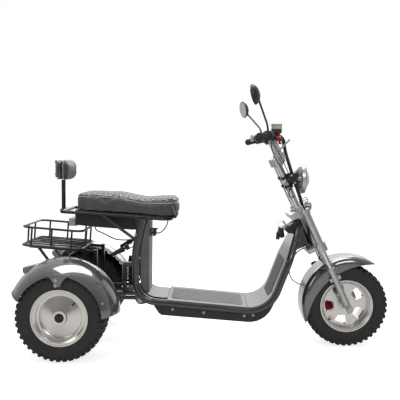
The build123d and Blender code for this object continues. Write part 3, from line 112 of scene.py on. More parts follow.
class Shader(Nodes):
    """A node material on one Principled shader, with procedural textures in the model's frame."""

    def __init__(self, name, metallic=0.0, roughness=0.5, **sockets):
        self.material = bpy.data.materials.new(name)
        self.material.use_nodes = True
        super().__init__(self.material.node_tree)
        self.principled = self.tree.nodes["Principled BSDF"]
        for socket, value in {"Metallic": metallic, "Roughness": roughness, **sockets}.items():
            self.principled.inputs[socket.replace("_", " ")].default_value = value
        self.position = self.add("ShaderNodeTexCoord").outputs["Object"]
        self.height = None

    def mapped(self, **settings):
        """The place in the model's frame, scaled, turned or shifted."""
        mapping = self.add("ShaderNodeMapping")
        for socket, value in settings.items():
            mapping.inputs[socket].default_value = value
        self.link(self.position, mapping.inputs["Vector"])
        return mapping.outputs["Vector"]

    def noise(self, scale, detail=4.0, rough=0.5):
        noise = self.add("ShaderNodeTexNoise")
        for socket, value in (("Scale", scale), ("Detail", detail), ("Roughness", rough)):
            noise.inputs[socket].default_value = value
        self.link(self.position, noise.inputs["Vector"])
        return noise.outputs["Fac"]

    def cells(self, feature, scale):
        voronoi = self.add("ShaderNodeTexVoronoi", feature=feature)
        voronoi.inputs["Scale"].default_value = scale
        self.link(self.position, voronoi.inputs["Vector"])
        return voronoi.outputs["Distance"]

    def colour(self, factor, stops):
        self.link(self.ramp(factor, stops), self.principled.inputs["Base Color"])

    def spread_roughness(self, factor, low, high):
        self.link(self.spread(factor, 0.3, 0.7, low, high), self.principled.inputs["Roughness"])

    def bump(self, height, distance, strength=1.0):
        node = self.add("ShaderNodeBump")
        node.inputs["Distance"].default_value = distance
        node.inputs["Strength"].default_value = strength
        self.link(height, node.inputs["Height"])
        if self.height is not None:
            self.link(self.height, node.inputs["Normal"])
        self.height = node.outputs["Normal"]
        self.link(self.height, self.principled.inputs["Normal"])


def shades(base, spread):
    """Three stops a little darker and lighter than a base colour."""
    return [
        (0.30, tuple(c * (1 - spread) for c in base)),
        (0.50, base),
        (0.70, tuple(min(1.0, c * (1 + spread)) for c in base)),
    ]


def plain_finish(name, base, spread, rough, patch=9.0, grain=900.0, grain_height=0.00004, **more):
    """Paint, plastic or metal: cloudy colour, uneven gloss and a fine surface grain."""
    shader = Shader(name, **more)
    shader.colour(shader.noise(patch, 5.0, 0.6), shades(base, spread))
    shader.spread_roughness(shader.noise(patch * 3.1, 6.0, 0.65), *rough)
    if grain_height:
        shader.bump(shader.noise(grain, 3.0), grain_height)
    return shader


def moulded_black(name="moulded_black", base=(0.012, 0.012, 0.013), rough=(0.40, 0.55)):
    return plain_finish(name, base, 0.2, rough, patch=11.0, grain=1300.0, grain_height=0.00009)


def rubber(name="rubber", base=(0.013, 0.013, 0.0135), rough=(0.60, 0.78)):
    return plain_finish(name, base, 0.25, rough, patch=14.0, grain=1500.0, grain_height=0.00012)


def chrome():
    shader = Shader("chrome", metallic=1.0)
    shader.colour(shader.noise(14.0, 5.0), shades((0.66, 0.66, 0.67), 0.06))
    shader.spread_roughness(shader.noise(40.0, 6.0, 0.7), 0.05, 0.14)
    shader.bump(shader.noise(300.0, 2.0), 0.00002)
    return shader


def shock_finish():
    """Black enamelled coils and dampers."""
    shader = Shader("shock_finish", Coat_Weight=0.5, Coat_Roughness=0.1)
    cloud = shader.math("MULTIPLY", shader.noise(20.0, 4.0), 0.2)
    shader.colour(cloud, [(0.0, (0.016, 0.016, 0.017)), (0.6, (0.020, 0.020, 0.021))])
    shader.spread_roughness(shader.noise(40.0, 5.0), 0.14, 0.26)
    return shader


def cast_silver(name="cast_silver", base=(0.50, 0.51, 0.52), rough=(0.28, 0.40)):
    shader = Shader(name, metallic=0.85)
    shader.colour(shader.noise(16.0, 5.0), shades(base, 0.10))
    shader.spread_roughness(shader.noise(60.0, 6.0, 0.7), *rough)
    shader.bump(shader.noise(900.0, 4.0), 0.00005)
    return shader


def turned_aluminium(name, centre, base=(0.66, 0.635, 0.60)):
    """Lathe-turned aluminium: very fine rings about the wheel's axle, so it reflects as streaks."""
    shader = Shader(name, metallic=0.95, Anisotropic=0.35)
    x, _, z = shader.separated(shader.mapped(Location=(-centre.x, 0.0, -centre.z)))
    squares = shader.math("ADD", shader.math("MULTIPLY", x, x), shader.math("MULTIPLY", z, z))
    rings = shader.math("SINE", shader.math("MULTIPLY", shader.math("SQRT", squares), 2100.0))
    mixed = shader.math("ADD", shader.math("MULTIPLY", rings, 0.06), shader.noise(9.0, 3.0))
    shader.colour(mixed, shades(base, 0.05))
    shader.spread_roughness(mixed, 0.20, 0.27)
    return shader


def leather(name, base, rough):
    """Leatherette: small irregular cells pressed into the surface."""
    shader = Shader(name)
    shader.colour(shader.noise(12.0, 6.0, 0.6), shades(base, 0.16))
    shader.spread_roughness(shader.noise(38.0, 5.0), *rough)
    shader.bump(shader.cells("DISTANCE_TO_EDGE", 620.0), 0.00018)
    shader.bump(shader.noise(70.0, 3.0), 0.0004, 0.6)
    return shader


def carbon_gloss():
    """Dark grey gloss with a fine twill weave showing through clear lacquer."""
    shader = Shader("carbon_gloss", Coat_Weight=1.0, Coat_Roughness=0.07, Coat_IOR=2.15)
    turned = shader.mapped(Scale=(230.0, 230.0, 230.0), Rotation=(0.0, math.radians(45), 0.0))
    x, y, z = shader.separated(turned)
    warp = shader.math("SINE", shader.math("MULTIPLY", shader.math("ADD", x, y), math.pi))
    weft = shader.math("SINE", shader.math("MULTIPLY", shader.math("SUBTRACT", z, y), math.pi))
    twill = shader.math("MULTIPLY_ADD", shader.math("MULTIPLY", warp, weft), 0.5, 0.5)
    cloud = shader.math("MULTIPLY", shader.noise(5.0, 4.0), 0.25)
    shader.colour(shader.math("ADD", shader.math("MULTIPLY", twill, 0.8), cloud), [
        (0.0, (0.004, 0.004, 0.0045)), (0.5, (0.020, 0.021, 0.023)), (1.0, (0.115, 0.117, 0.122)),
    ])
    shader.spread_roughness(shader.noise(20.0, 4.0), 0.30, 0.42)
    return shader


def clear_glass(name, base, rough):
    more = {"Transmission_Weight": 0.10, "IOR": 1.47, "Coat_Weight": 0.6, "Coat_Roughness": 0.04}
    shader = Shader(name, roughness=rough, **more)
    shader.colour(shader.noise(30.0, 3.0), shades(base, 0.03))
    shader.bump(shader.noise(140.0, 2.0), 0.00008)
    return shader


def red_lens():
    """Red lens plastic moulded in small cells."""
    shader = Shader("red_lens", roughness=0.18, Coat_Weight=0.6, Coat_Roughness=0.06)
    cells = shader.cells("F1", 260.0)
    shader.colour(cells, [
        (0.0, (0.55, 0.020, 0.016)), (0.5, (0.34, 0.010, 0.009)), (1.0, (0.2, 0.006, 0.006)),
    ])
    shader.bump(cells, 0.0003)
    return shader


def paint(node_names, shader):
    """Gives CAD nodes a material."""
    for name in node_names.split():
        mesh = nodes[name].data
        mesh.materials.clear()
        mesh.materials.append(shader.material)


# ---- mesh helpers

cast_trees = {}


def tree_of(mesh):
    return BVHTree.FromPolygons([v.co for v in mesh.vertices], [tuple(p.vertices) for p in mesh.polygons])


def centre_of(node):
    low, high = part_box(node)
    return (low + high) / 2


def cast(node_names, start, direction):
    """Where a ray first meets the given CAD nodes, with the outward normal there."""
    best = (None, None, math.inf)
    for name in node_names:
        if name not in cast_trees:
            cast_trees[name] = tree_of(nodes[name].data)
        place, normal, _, distance = cast_trees[name].ray_cast(Vector(start), Vector(direction).normalized())
        if place is not None and distance < best[2]:
            best = (place, normal, distance)
    return best[:2]


def side_axes(axis):
    """An axis as a unit vector, with two unit vectors square to it."""
    axis = Vector(axis).normalized()
    helper = Vector((0, 0, 1)) if abs(axis.z) < 0.9 else Vector((1, 0, 0))
    first = axis.cross(helper).normalized()
    return axis, first, axis.cross(first)


def circle(centre, first, second, radius, count):
    """Points evenly round a circle in the plane of two unit vectors."""
    points = []
    for k in range(count):
        angle = 2 * math.pi * k / count
        points.append(centre + (first * math.cos(angle) + second * math.sin(angle)) * radius)
    return points


class Form:
    """Gathers the faces of one piece out of turned, swept and bevelled forms."""

    def __init__(self):
        self.points = []
        self.faces = []
        self.kinds = []
        self.kind = 0

    def face(self, corners):
        self.faces.append(tuple(corners))
        self.kinds.append(self.kind)

    def rings(self, rows, closed=True, looped=False):
        """Skins rows of points; closed joins each row's ends, looped joins the last row to the first."""
        start = len(self.points)
        count = len(rows[0])
        for row in rows:
            self.points.extend(row)
        for i in range(len(rows) if looped else len(rows) - 1):
            here = start + i * count
            there = start + (i + 1) % len(rows) * count
            for k in range(count if closed else count - 1):
                m = (k + 1) % count
                self.face((here + k, here + m, there + m, there + k))
        return start

    def cap(self, first, count, flip=False):
        loop = list(range(first, first + count))
        self.face(reversed(loop) if flip else loop)

    def turned(self, profile, centre, axis, segments=32):
        """A form turned about an axis: profile rows of (radius, distance along the axis)."""
        axis, first, second = side_axes(axis)
        rows = []
        for radius, along in profile:
            middle = Vector(centre) + axis * (along * MM)
            rows.append(circle(middle, first, second, max(radius, 0.02) * MM, segments))
        self.rings(rows)

    def tube(self, path, radius, sides=10, closed=False):
        """A round tube along points; radius is a number or one number for each point."""
        count = len(path)
        radii = radius if isinstance(radius, list) else [radius] * count
        _, normal, _ = side_axes(path[1] - path[-1] if closed else path[1] - path[0])
        rows = []
        for i, point in enumerate(path):
            after = path[(i + 1) % count] if closed else path[min(i + 1, count - 1)]
            before = path[i - 1] if closed else path[max(i - 1, 0)]
            heading = (after - before).normalized()
            normal = (normal - heading * normal.dot(heading)).normalized()
            rows.append(circle(point, normal, heading.cross(normal), radii[i] * MM, sides))
        start = self.rings(rows, looped=closed)
        if not closed:
            self.cap(start, sides, flip=True)
            self.cap(start + (count - 1) * sides, sides)

    def ring(self, centre, axis, radius, wire, segments):
        """A round wire ring about an axis."""
        _, first, second = side_axes(axis)
        self.tube(circle(centre, first, second, radius * MM, segments), wire, sides=8, closed=True)

    def slab(self, centre, size, bevel, x_axis=(1, 0, 0), y_axis=(0, 1, 0)):
        """A block with rounded edges, lying along two given axes."""
        bm = bmesh.new()
        bmesh.ops.create_cube(bm, size=1.0)
        bmesh.ops.scale(bm, vec=Vector(size) * MM, verts=bm.verts)
        edges = bm.edges[:] + bm.verts[:]
        bmesh.ops.bevel(bm, geom=edges, offset=bevel * MM, segments=3, affect="EDGES", profile=0.5)
        x_axis = Vector(x_axis).normalized()
        z_axis = x_axis.cross(Vector(y_axis)).normalized()
        y_axis = z_axis.cross(x_axis)
        start = len(self.points)
        for vert in bm.verts:
            x, y, z = vert.co
            self.points.append(Vector(centre) + x_axis * x + y_axis * y + z_axis * z)
        bm.verts.index_update()
        for face in bm.faces:
            self.face(start + v.index for v in face.verts)
        bm.free()

    def bolt(self, place, outward, r):
        """A button-head socket screw of radius r with a hexagon recess, standing on a washer."""
        washer = [(r * 1.55, -0.25 * r), (r * 1.55, 0.16 * r), (r * 1.45, 0.24 * r), (r, 0.24 * r)]
        self.turned(washer, place, outward, 20)
        top = 1.12 * r
        self.turned([
            (r, 0.12 * r), (r, 0.535 * r), (r * 0.86, 0.94 * r), (r * 0.62, top), (r * 0.5, top),
            (r * 0.46, top - 0.1 * r),
        ], place, outward, 18)
        axis, first, second = side_axes(outward)
        rows = []
        for depth, size in ((top - 0.1 * r, 0.46), (top - 0.45 * r, 0.44), (top - 0.5 * r, 0.02)):
            row = []
            for k in range(18):
                angle = 2 * math.pi * k / 18
                flat = size / math.cos(((angle + math.pi / 6) % (math.pi / 3)) - math.pi / 6) * 0.9
                spoke = first * math.cos(angle) + second * math.sin(angle)
                row.append(Vector(place) + (axis * depth + spoke * r * min(size, flat)) * MM)
            rows.append(row)
        self.rings(rows)

    def piece(self, name, shaders, body, slot, sharp=38.0, replaces=()):
        """Makes the mesh, with edges steeper than sharp degrees left hard, and ties it to its body."""
        mesh = bpy.data.meshes.new(name)
        mesh.from_pydata([tuple(p) for p in self.points], [], self.faces)
        for shader in shaders if isinstance(shaders, list) else [shaders]:
            mesh.materials.append(shader.material)
        mesh.polygons.foreach_set("material_index", self.kinds)
        bm = bmesh.new()
        bm.from_mesh(mesh)
        bmesh.ops.recalc_face_normals(bm, faces=bm.faces)
        bm.to_mesh(mesh)
        bm.free()
        mesh.shade_smooth()
        mesh.set_sharp_from_angle(angle=math.radians(sharp))
        piece = bpy.data.objects.new(name, mesh)
        bpy.context.scene.collection.objects.link(piece)
        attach(piece, body)
        if replaces:
            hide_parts(*replaces)


def baked(piece):
    """The piece's mesh with its modifiers worked in."""
    graph = bpy.context.evaluated_depsgraph_get()
    mesh = bpy.data.meshes.new_from_object(piece.evaluated_get(graph))
    piece.modifiers.clear()
    piece.data = mesh
    return mesh


def pushed(mesh, push):
    """Moves each vertex along its normal by push(place, normal)."""
    normals = [v.normal.copy() for v in mesh.vertices]
    for vert, normal in zip(mesh.vertices, normals):
        vert.co += normal * push(vert.co, normal)


def even_copy(node, name, voxel, inset):
    """A CAD pad's form as a new piece of even small faces, drawn in by inset along its normals."""
    piece = bpy.data.objects.new(name, nodes[node].data.copy())
    bpy.context.scene.collection.objects.link(piece)
    remesh = piece.modifiers.new("even", "REMESH")
    remesh.mode = "VOXEL"
    remesh.voxel_size = voxel
    pushed(baked(piece), lambda co, normal: -inset)
    return piece


def puff(piece, held, cap):
    """Blows a pad up under its cover, with the points that held() accepts kept in place."""
    start = [v.co.copy() for v in piece.data.vertices]
    group = piece.vertex_groups.new(name="held")
    group.add([i for i, co in enumerate(start) if held(co)], 1.0, "REPLACE")
    cloth = piece.modifiers.new("cover", "CLOTH")
    settings = cloth.settings
    settings.quality = 5
    settings.mass = 0.3
    settings.tension_stiffness = 25.0
    settings.compression_stiffness = 25.0
    settings.bending_stiffness = 4.0
    settings.use_pressure = True
    settings.uniform_pressure_force = 4.0
    settings.effector_weights.gravity = 0.0
    settings.vertex_group_mass = "held"
    cloth.point_cache.frame_start = 1
    cloth.point_cache.frame_end = 20
    for step in range(1, 21):
        bpy.context.scene.frame_set(step)
    mesh = baked(piece)
    moves = np.array([vert.co - before for vert, before in zip(mesh.vertices, start)])
    lengths = np.linalg.norm(moves, axis=1, keepdims=True)
    moves *= np.minimum(1.0, cap / np.maximum(lengths, 1e-9))
    for vert, before, move in zip(mesh.vertices, start, evened(mesh, moves, 14)):
        vert.co = before + Vector(move)
    bpy.context.scene.frame_set(1)
    piece.vertex_groups.clear()


def evened(mesh, values, rounds):
    """Averages one row of numbers per vertex with its neighbours' rows, so creases fade to soft folds."""
    edges = np.array([tuple(edge.vertices) for edge in mesh.edges])
    count = np.zeros((len(values), 1))
    np.add.at(count, edges[:, 0], 1.0)
    np.add.at(count, edges[:, 1], 1.0)
    for _ in range(rounds):
        total = np.zeros_like(values)
        np.add.at(total, edges[:, 0], values[edges[:, 1]])
        np.add.at(total, edges[:, 1], values[edges[:, 0]])
        values = 0.5 * values + 0.5 * total / np.maximum(count, 1.0)
    return values


def subdivided(piece):
    piece.modifiers.new("round", "SUBSURF").levels = 1
    return baked(piece)


def walk(points, step):
    """Places every step along a line of (point, normal) rows, as (point, normal, heading)."""
    result = []
    carried = 0.0
    for (a, na), (b, nb) in zip(points, points[1:]):
        run = b - a
        length = run.length
        if length < 1e-7:
            continue
        while carried < length:
            share = carried / length
            result.append((a + run * share, na.lerp(nb, share).normalized(), run / length))
            carried += step
        carried -= length
    return result


STITCH = 0.0068
STITCH_GAP = 0.0020
THREAD = 0.0012


def stitches(name, lines, shader, body, slot):
    """Rows of thread stitches lying on a surface, each dipping into it at both ends."""
    form = Form()
    for line in lines:
        for place, normal, heading in walk(line, STITCH + STITCH_GAP):
            across = normal.cross(heading).normalized()
            rows = []
            for along, rise, size in (
                (-0.5, -0.9, 0.5), (-0.36, 0.25, 1.0), (0.0, 0.5, 1.05), (0.36, 0.25, 1.0), (0.5, -0.9, 0.5),
            ):
                middle = place + heading * (along * STITCH) + normal * (rise * THREAD)
                rows.append(circle(middle, across, normal, THREAD * size, 6))
            form.rings(rows)
    form.piece(name, shader, body, slot, sharp=80.0)


def step_up(value, low, high):
    """Rises smoothly from 0 at low to 1 at high."""
    t = max(0.0, min(1.0, (value - low) / (high - low)))
    return t * t * (3 - 2 * t)


def dip(away, width):
    """1 on a line, fading to 0 over the width beside it."""
    return math.exp(-((away / width) ** 2))


def blend_through(x, table):
    """Smooth value at x through rows of (x, value)."""
    value = table[0][1]
    for (x0, v0), (x1, v1) in zip(table, table[1:]):
        value += (v1 - v0) * step_up(x, x0, x1)
    return value


# ---- tyres

LUGS = 42
# One side of the tyre as (across, radius) rows in millimetres, from the bead to the centre line:
# the plain side wall, then the carcass beside the outside of its lugs.
WALL_ROWS = [
    (76.4, 140.5), (79.0, 144.0), (81.5, 147.5), (82.2, 150.0), (83.0, 151.2), (83.2, 153.0), (82.9, 154.5),
    (83.8, 159.0), (84.3, 166.0), (84.6, 170.0), (85.0, 171.2), (85.0, 173.0), (84.7, 174.2), (84.9, 180.0),
    (84.7, 185.0), (84.3, 188.5),
]
TREAD_ROWS = [
    ((84.0, 191.2), (84.8, 191.6)), ((82.8, 195.0), (84.9, 196.0)), ((81.2, 200.0), (84.7, 204.0)),
    ((79.0, 204.8), (84.2, 210.5)), ((76.2, 208.0), (82.8, 213.6)), ((72.2, 210.6), (79.0, 215.6)),
    ((66.0, 213.0), (70.0, 218.6)), ((59.0, 215.0), (60.0, 220.8)), ((53.0, 216.0), (51.0, 221.8)),
    ((50.0, 216.4), (48.8, 221.0)), ((48.0, 216.6), (48.0, 216.8)),
]
CROWN_ROWS = [
    ((42.0, 216.8), (42.0, 216.8)), ((40.8, 216.8), (40.4, 221.2)), ((39.0, 216.8), (38.0, 221.8)),
    ((26.0, 216.9), (25.0, 222.0)), ((12.0, 217.0), (11.0, 222.0)), ((9.8, 217.0), (9.2, 221.2)),
    ((8.4, 217.0), (8.4, 217.0)),
]
# Places round one lug, each with how far the lugs on the left shoulder are raised there
STATIONS = ((-0.03, 0.0), (0.03, 1.0), (0.25, 1.0), (0.47, 1.0), (0.53, 0.0), (0.75, 0.0))


def make_tyre(node, body, shader):
    """Side walls with two raised rings, staggered shoulder lugs and staggered centre blocks."""
    hub = centre_of(node)
    rows = []
    for lug in range(LUGS):
        for share, near in STATIONS:
            angle = 2 * math.pi * (lug + share) / LUGS - math.pi / 2
            row = []
            for side, raised in ((1, near), (-1, 1.0 - near)):
                half = list(WALL_ROWS)
                for table, rise in ((TREAD_ROWS, raised), (CROWN_ROWS, 1.0 - raised)):
                    for (y0, r0), (y1, r1) in table:
                        half.append((y0 + (y1 - y0) * rise, r0 + (r1 - r0) * rise))
                for y, r in half[::side]:
                    row.append(hub + Vector((r * math.cos(angle), side * y, r * math.sin(angle))) * MM)
            rows.append(row)
    form = Form()
    form.rings(rows, closed=False, looped=True)
    form.piece("tread_" + body, shader, body, "tyre_rubber", sharp=30.0, replaces=(node,))


# ---- seat and backrest pad

SEAM = [
    (-0.700, 0.7895), (-0.558, 0.7890), (-0.454, 0.7850), (-0.409, 0.7730), (-0.349, 0.7610),
    (-0.260, 0.7590), (-0.171, 0.7615),
]
QUILT = 0.057


def seam_height(x):
    return blend_through(x, SEAM)


def nose_seam_x(z):
    return -0.190 + (0.790 - z) * 0.30


def near_line(value):
    """Distance to the nearest of a family of lines one quilt square apart."""
    return abs((value / QUILT + 0.5) % 1.0 - 0.5) * QUILT


def hit_on(tree, start, direction):
    """Where a ray first meets a mesh, as (point, normal), or None."""
    place, normal, _, _ = tree.ray_cast(start, direction)
    return None if place is None else (place, normal)


def unbroken(hits):
    """Splits a line of hits at its gaps, which are None, and keeps the runs of four or more."""
    runs = [[]]
    for hit in hits:
        if hit is None:
            runs.append([])
        else:
            runs[-1].append(hit)
    return [run for run in runs if len(run) > 3]


def make_seat(side_leather, lit_top_leather, thread):
    """The seat's cover, blown up and quilted on top, with stitches on its seams and quilting."""
    low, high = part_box("seat")
    seat = even_copy("seat", "seat_cover", 0.005, 0.0045)
    puff(seat, lambda co: co.z < 0.712 - (co.x - low.x) * 0.02, 0.008)
    mesh = subdivided(seat)

    def relief(co, normal):
        x, y, z = co
        over = z - seam_height(x)
        panel = step_up(over, 0.003, 0.016) * step_up(normal.z, 0.25, 0.6)
        away = min(near_line(x + y), near_line(x - y)) * math.sqrt(0.5)
        push = panel * (0.0024 - 0.0062 * dip(away, 0.0052))
        push -= 0.0026 * dip(over, 0.0026) * (1.0 if normal.z < 0.85 else 0.4)
        if over < 0 and abs(normal.y) > 0.3:
            push -= 0.0022 * dip(x - nose_seam_x(z), 0.0026)
        return push

    pushed(mesh, relief)
    mesh.materials.clear()
    mesh.materials.append(side_leather.material)
    mesh.materials.append(lit_top_leather.material)
    # Faces above the seam take the lighter top leather: a painted highlight on the seat's lit top, not a
    # different leather.
    for polygon in mesh.polygons:
        x, _, z = polygon.center
        polygon.material_index = 1 if z > seam_height(x) + 0.0005 and polygon.normal.z > -0.2 else 0
    mesh.shade_smooth()
    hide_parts("seat")
    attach(seat, "chassis")

    tree = tree_of(mesh)
    middle = Vector(((low.x + high.x) / 2, 0.0, 0.0))

    def on_rim(angle):
        outward = Vector((math.cos(angle), math.sin(angle) * 0.7, 0.0)).normalized()
        x = middle.x
        for _ in range(3):
            hit = hit_on(tree, middle + outward * 0.6 + Vector((0, 0, seam_height(x) + 0.0052)), -outward)
            if hit is None:
                return None
            x = hit[0].x
        return hit

    def on_quilt(x, y):
        if not low.x + 0.012 < x < high.x - 0.012:
            return None
        hit = hit_on(tree, Vector((x, y, 0.9)), Vector((0, 0, -1)))
        if hit is None or hit[0].z < seam_height(x) + 0.009 or hit[1].z < 0.35:
            return None
        return hit

    lines = unbroken([on_rim(2 * math.pi * k / 300) for k in range(301)])
    for side in (-1, 1):
        nose = []
        for k in range(18):
            z = 0.7010 + 0.0034 * k
            x = nose_seam_x(z)
            if z > seam_height(x) - 0.004:
                break
            nose.append(hit_on(tree, Vector((x - 0.0045, side * 0.4, z)), Vector((0, -side, 0))))
        lines += unbroken(nose)
    for slope in (1, -1):
        for n in range(-18, 3):
            hits = []
            for k in range(121):
                y = -0.144 + 0.0024 * k
                hits.append(on_quilt(n * QUILT - slope * y, y))
            lines += unbroken(hits)
    stitches("seat_stitches", lines, thread, "chassis", "seat_leather")


def make_backrest(leather_shader, shell_shader, bracket_shader, thread):
    """The backrest's puffed front, its hard shell behind, the bracket and a row of stitches."""
    low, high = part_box("backrest_pad")
    centre = (low + high) / 2
    split = low.x + 0.030
    pad = even_copy("backrest_pad", "backrest_cushion", 0.0045, 0.0025)
    for vert in pad.data.vertices:
        share = (vert.co.x - low.x) / (high.x - low.x)
        vert.co.x = split + share * (high.x - split)
    puff(pad, lambda co: co.x < split + 0.006, 0.008)
    mesh = subdivided(pad)
    for vert in mesh.vertices:
        share = max(0.0, (vert.co.x - split - 0.012) / (high.x - split - 0.012))
        vert.co.z = centre.z + (vert.co.z - centre.z) * math.sqrt(max(0.2, 1.0 - 0.62 * share * share))
    pushed(mesh, lambda co, normal: (
        -0.0022 * dip(co.x - split - 0.014, 0.0022) - 0.0014 * dip(co.x - high.x + 0.012, 0.0018)
    ))
    mesh.materials.clear()
    mesh.materials.append(leather_shader.material)
    mesh.shade_smooth()
    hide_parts("backrest_pad")
    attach(pad, "chassis")

    rows = []
    for depth, inset in (
        (0, 6), (0, 2), (-3, 0), (-9, 0), (-9.5, 2), (-11, 2), (-11.5, 0), (-16, 2), (-22, 6), (-27, 13),
        (-29.6, 24), (-30, 40),
    ):
        corner = max(32 - inset * 0.6, 6)
        row = []
        for quarter, (sy, sz) in enumerate(((1, 1), (-1, 1), (-1, -1), (1, -1))):
            for k in range(9):
                angle = math.pi / 2 * (quarter + k / 8)
                y = sy * (101 - inset - corner) + corner * math.cos(angle)
                z = sz * (51 - inset - corner) + corner * math.sin(angle)
                row.append(Vector((split + (4 + depth) * MM, y * MM, centre.z + z * MM)))
        rows.append(row)
    shell = Form()
    start = shell.rings(rows)
    shell.cap(start + 36 * (len(rows) - 1), 36)
    shell.cap(start, 36, flip=True)
    shell.piece("backrest_shell", shell_shader, "chassis", "pad_leather", sharp=30.0)

    bracket = Form()
    bracket.slab((low.x + 0.0035, 0.0, centre.z - 0.022), (7, 84, 62), 2)
    for side in (-1, 1):
        bracket.slab((low.x + 0.003, side * 0.064, centre.z + 0.005), (6, 18, 92), 2)
        for z in (-0.030, 0.036):
            bracket.bolt((low.x + 0.0002, side * 0.064, centre.z + 0.005 + z), (-1, 0, 0), 4.2)
    bracket.piece("backrest_bracket", bracket_shader, "chassis", "black_steel")
    tree = tree_of(mesh)
    hits = []
    for k in range(121):
        angle = 2 * math.pi * k / 120
        outward = Vector((0.0, math.cos(angle), math.sin(angle)))
        hits.append(hit_on(tree, Vector((split + 0.0185, 0, centre.z)) + outward * 0.3, -outward))
    stitches("backrest_stitches", unbroken(hits), thread, "chassis", "pad_leather")


# ---- foot mats

MAT_CELLS = 96
MAT_STEP = 0.004
MAT_PITCH = 0.009
MAT_CORNER = 0.030


def make_mat(name, target, start, end, drop, across, shader):
    """A ribbed mat lying on a CAD panel, below the middle line from start to end in (x, z)."""
    (x0, z0), (x1, z1) = start, end
    count = int(math.hypot(x1 - x0, z1 - z0) / MAT_STEP)
    rows = []
    for i in range(count):
        x = x0 + (x1 - x0) * i / count
        z = z0 + (z1 - z0) * i / count
        along = min(i, count - 1 - i) * MAT_STEP
        rest = 1 - min(along, MAT_CORNER) / MAT_CORNER
        half = across - MAT_CORNER * (1 - math.sqrt(1 - rest ** 2))
        row = []
        for k in range(MAT_CELLS + 1):
            y = half * (2 * k / MAT_CELLS - 1)
            place, normal = cast([target], (x, y, z), drop)
            edge = min(along, half - abs(y))
            rise = 0.0022 * step_up(edge, -0.0005, 0.0015) - 0.0006
            if edge > 0.007:
                rise += 0.0013 * step_up(abs((y / MAT_PITCH) % 1.0 - 0.5), 0.12, 0.30)
            row.append(place + normal * rise)
        rows.append(row)
    form = Form()
    form.rings(rows, closed=False)
    form.piece(name, shader, "chassis", "panel_black", sharp=50.0)


# ---- cords held along their way

def spline_points(control, steps):
    """Even points along the NURBS line of a cord's route."""
    data = bpy.data.curves.new("route", "CURVE")
    data.dimensions = "3D"
    data.resolution_u = steps
    spline = data.splines.new("NURBS")
    spline.points.add(len(control) - 1)
    for point, place in zip(spline.points, control):
        point.co = (*place, 1.0)
    spline.order_u = 3
    spline.use_endpoint_u = True
    carrier = bpy.data.objects.new("route", data)
    mesh = bpy.data.meshes.new_from_object(carrier)
    points = [v.co.copy() for v in mesh.vertices]
    bpy.data.objects.remove(carrier)
    bpy.data.curves.remove(data)
    bpy.data.meshes.remove(mesh)
    return points


def even(points, step):
    """Points a step apart along a line."""
    return [row[0] for row in walk([(p, Vector((0, 0, 1))) for p in points], step)]


RAKE = math.radians(25.2)
FORK_FOOT_X = 709.282
FORK_FOOT_Z = 202.840
FORK_UP = Vector((-math.sin(RAKE), 0.0, math.cos(RAKE)))


def fork(across, y, along):
    """A point beside the steering axis, from the fork's own measures in millimetres."""
    x = FORK_FOOT_X + across * math.cos(RAKE) - along * math.sin(RAKE)
    z = FORK_FOOT_Z + across * math.sin(RAKE) + along * math.cos(RAKE)
    return Vector((x, y, z)) * MM


def make_conduit(shader):
    """The corrugated sleeve that carries the wires from the handlebar down to the fork."""
    control = [
        Vector((0.350, -0.1257, 1.124)), Vector((0.350, -0.106, 1.124)), Vector((0.374, -0.084, 1.122)),
        Vector((0.395, -0.062, 1.104)), fork(95, -40, 925), fork(84, -34, 870), fork(74, -52, 800),
        fork(64, -60, 720), fork(60, -52, 655), fork(55, -32, 590), fork(44, -17, 505), fork(38, -20, 460),
        fork(20, -34, 422), fork(14, -38, 398), fork(14, -38, 368.3),
    ]
    points = even(spline_points(control, 24), 0.0020)
    radii = [(7.2, 10.2, 10.4, 8.0)[k % 4] for k in range(len(points))]
    form = Form()
    form.tube(points, radii, sides=14)
    form.piece("corrugated_conduit", shader, "steering", "conduit_black", 60.0, ("wiring_conduit",))


# ---- wheel details

CAP_RADIUS = 23.0
CAP_REACH = 80.5


def face_beside(names, x, z, side):
    """The nearest CAD face seen from one side at (x, z), with its normal turned to that side."""
    place, normal = cast(names, (x, side, z), (0, -side, 0))
    return place, normal if normal.y * side > 0 else -normal


def make_wheel_details(rim, body, side, valve_angle, valve_radius, capped, shaders):
    """A bent valve on the wheel's disc and, where capped, the cap over its hub."""
    cap_shader, rubber_shader, brass_shader = shaders
    hub = centre_of(rim)
    outward = Vector((0, side, 0))
    angle = math.radians(valve_angle)
    spoke = Vector((math.cos(angle), 0.0, math.sin(angle)))
    at = hub + spoke * valve_radius
    face, _ = face_beside([rim], at.x, at.z, side)
    bend = []
    for out, back in ((-2, 0), (6, 0), (12, 3), (16, 10)):
        bend.append(face + (outward * out - spoke * back) * MM)
    stem = Form()
    stem.tube(bend, [5.2, 4.0, 3.4, 3.0], sides=12)
    lean = (outward * 0.4 - spoke).normalized()
    stem.kind = 1
    stem.turned([
        (1.2, 0), (3.1, 1), (3.1, 4), (2.7, 5), (3.4, 6), (3.4, 13), (2.8, 14.5), (0, 14.7),
    ], bend[-1] - lean * MM, lean, 14)
    stem.piece("valve_" + body, [rubber_shader, brass_shader], body, "tyre_rubber")
    if not capped:
        return
    r, reach = CAP_RADIUS, CAP_REACH
    face, _ = face_beside([rim], hub.x + r * 1.02 * MM, hub.z, side)
    seat = (face - hub).dot(outward) / MM - 1
    cap = Form()
    cap.turned([
        (r, seat), (r, reach - 4), (r * 0.93, reach - 1), (r * 0.80, reach), (r * 0.74, reach - 1.6),
        (r * 0.70, reach - 1.6), (r * 0.64, reach), (r * 0.36, reach + 1.2), (r * 0.30, reach + 0.4),
        (0, reach + 0.2),
    ], hub, outward, 40)
    cap.piece("hub_cap_" + body, cap_shader, body, "black_plastic", sharp=28.0)


# ---- fasteners and trim on the chassis

TUBES = ["frame_tube_right", "frame_tube_left"]
FENDER_CENTRE = (-0.710, 0.222)


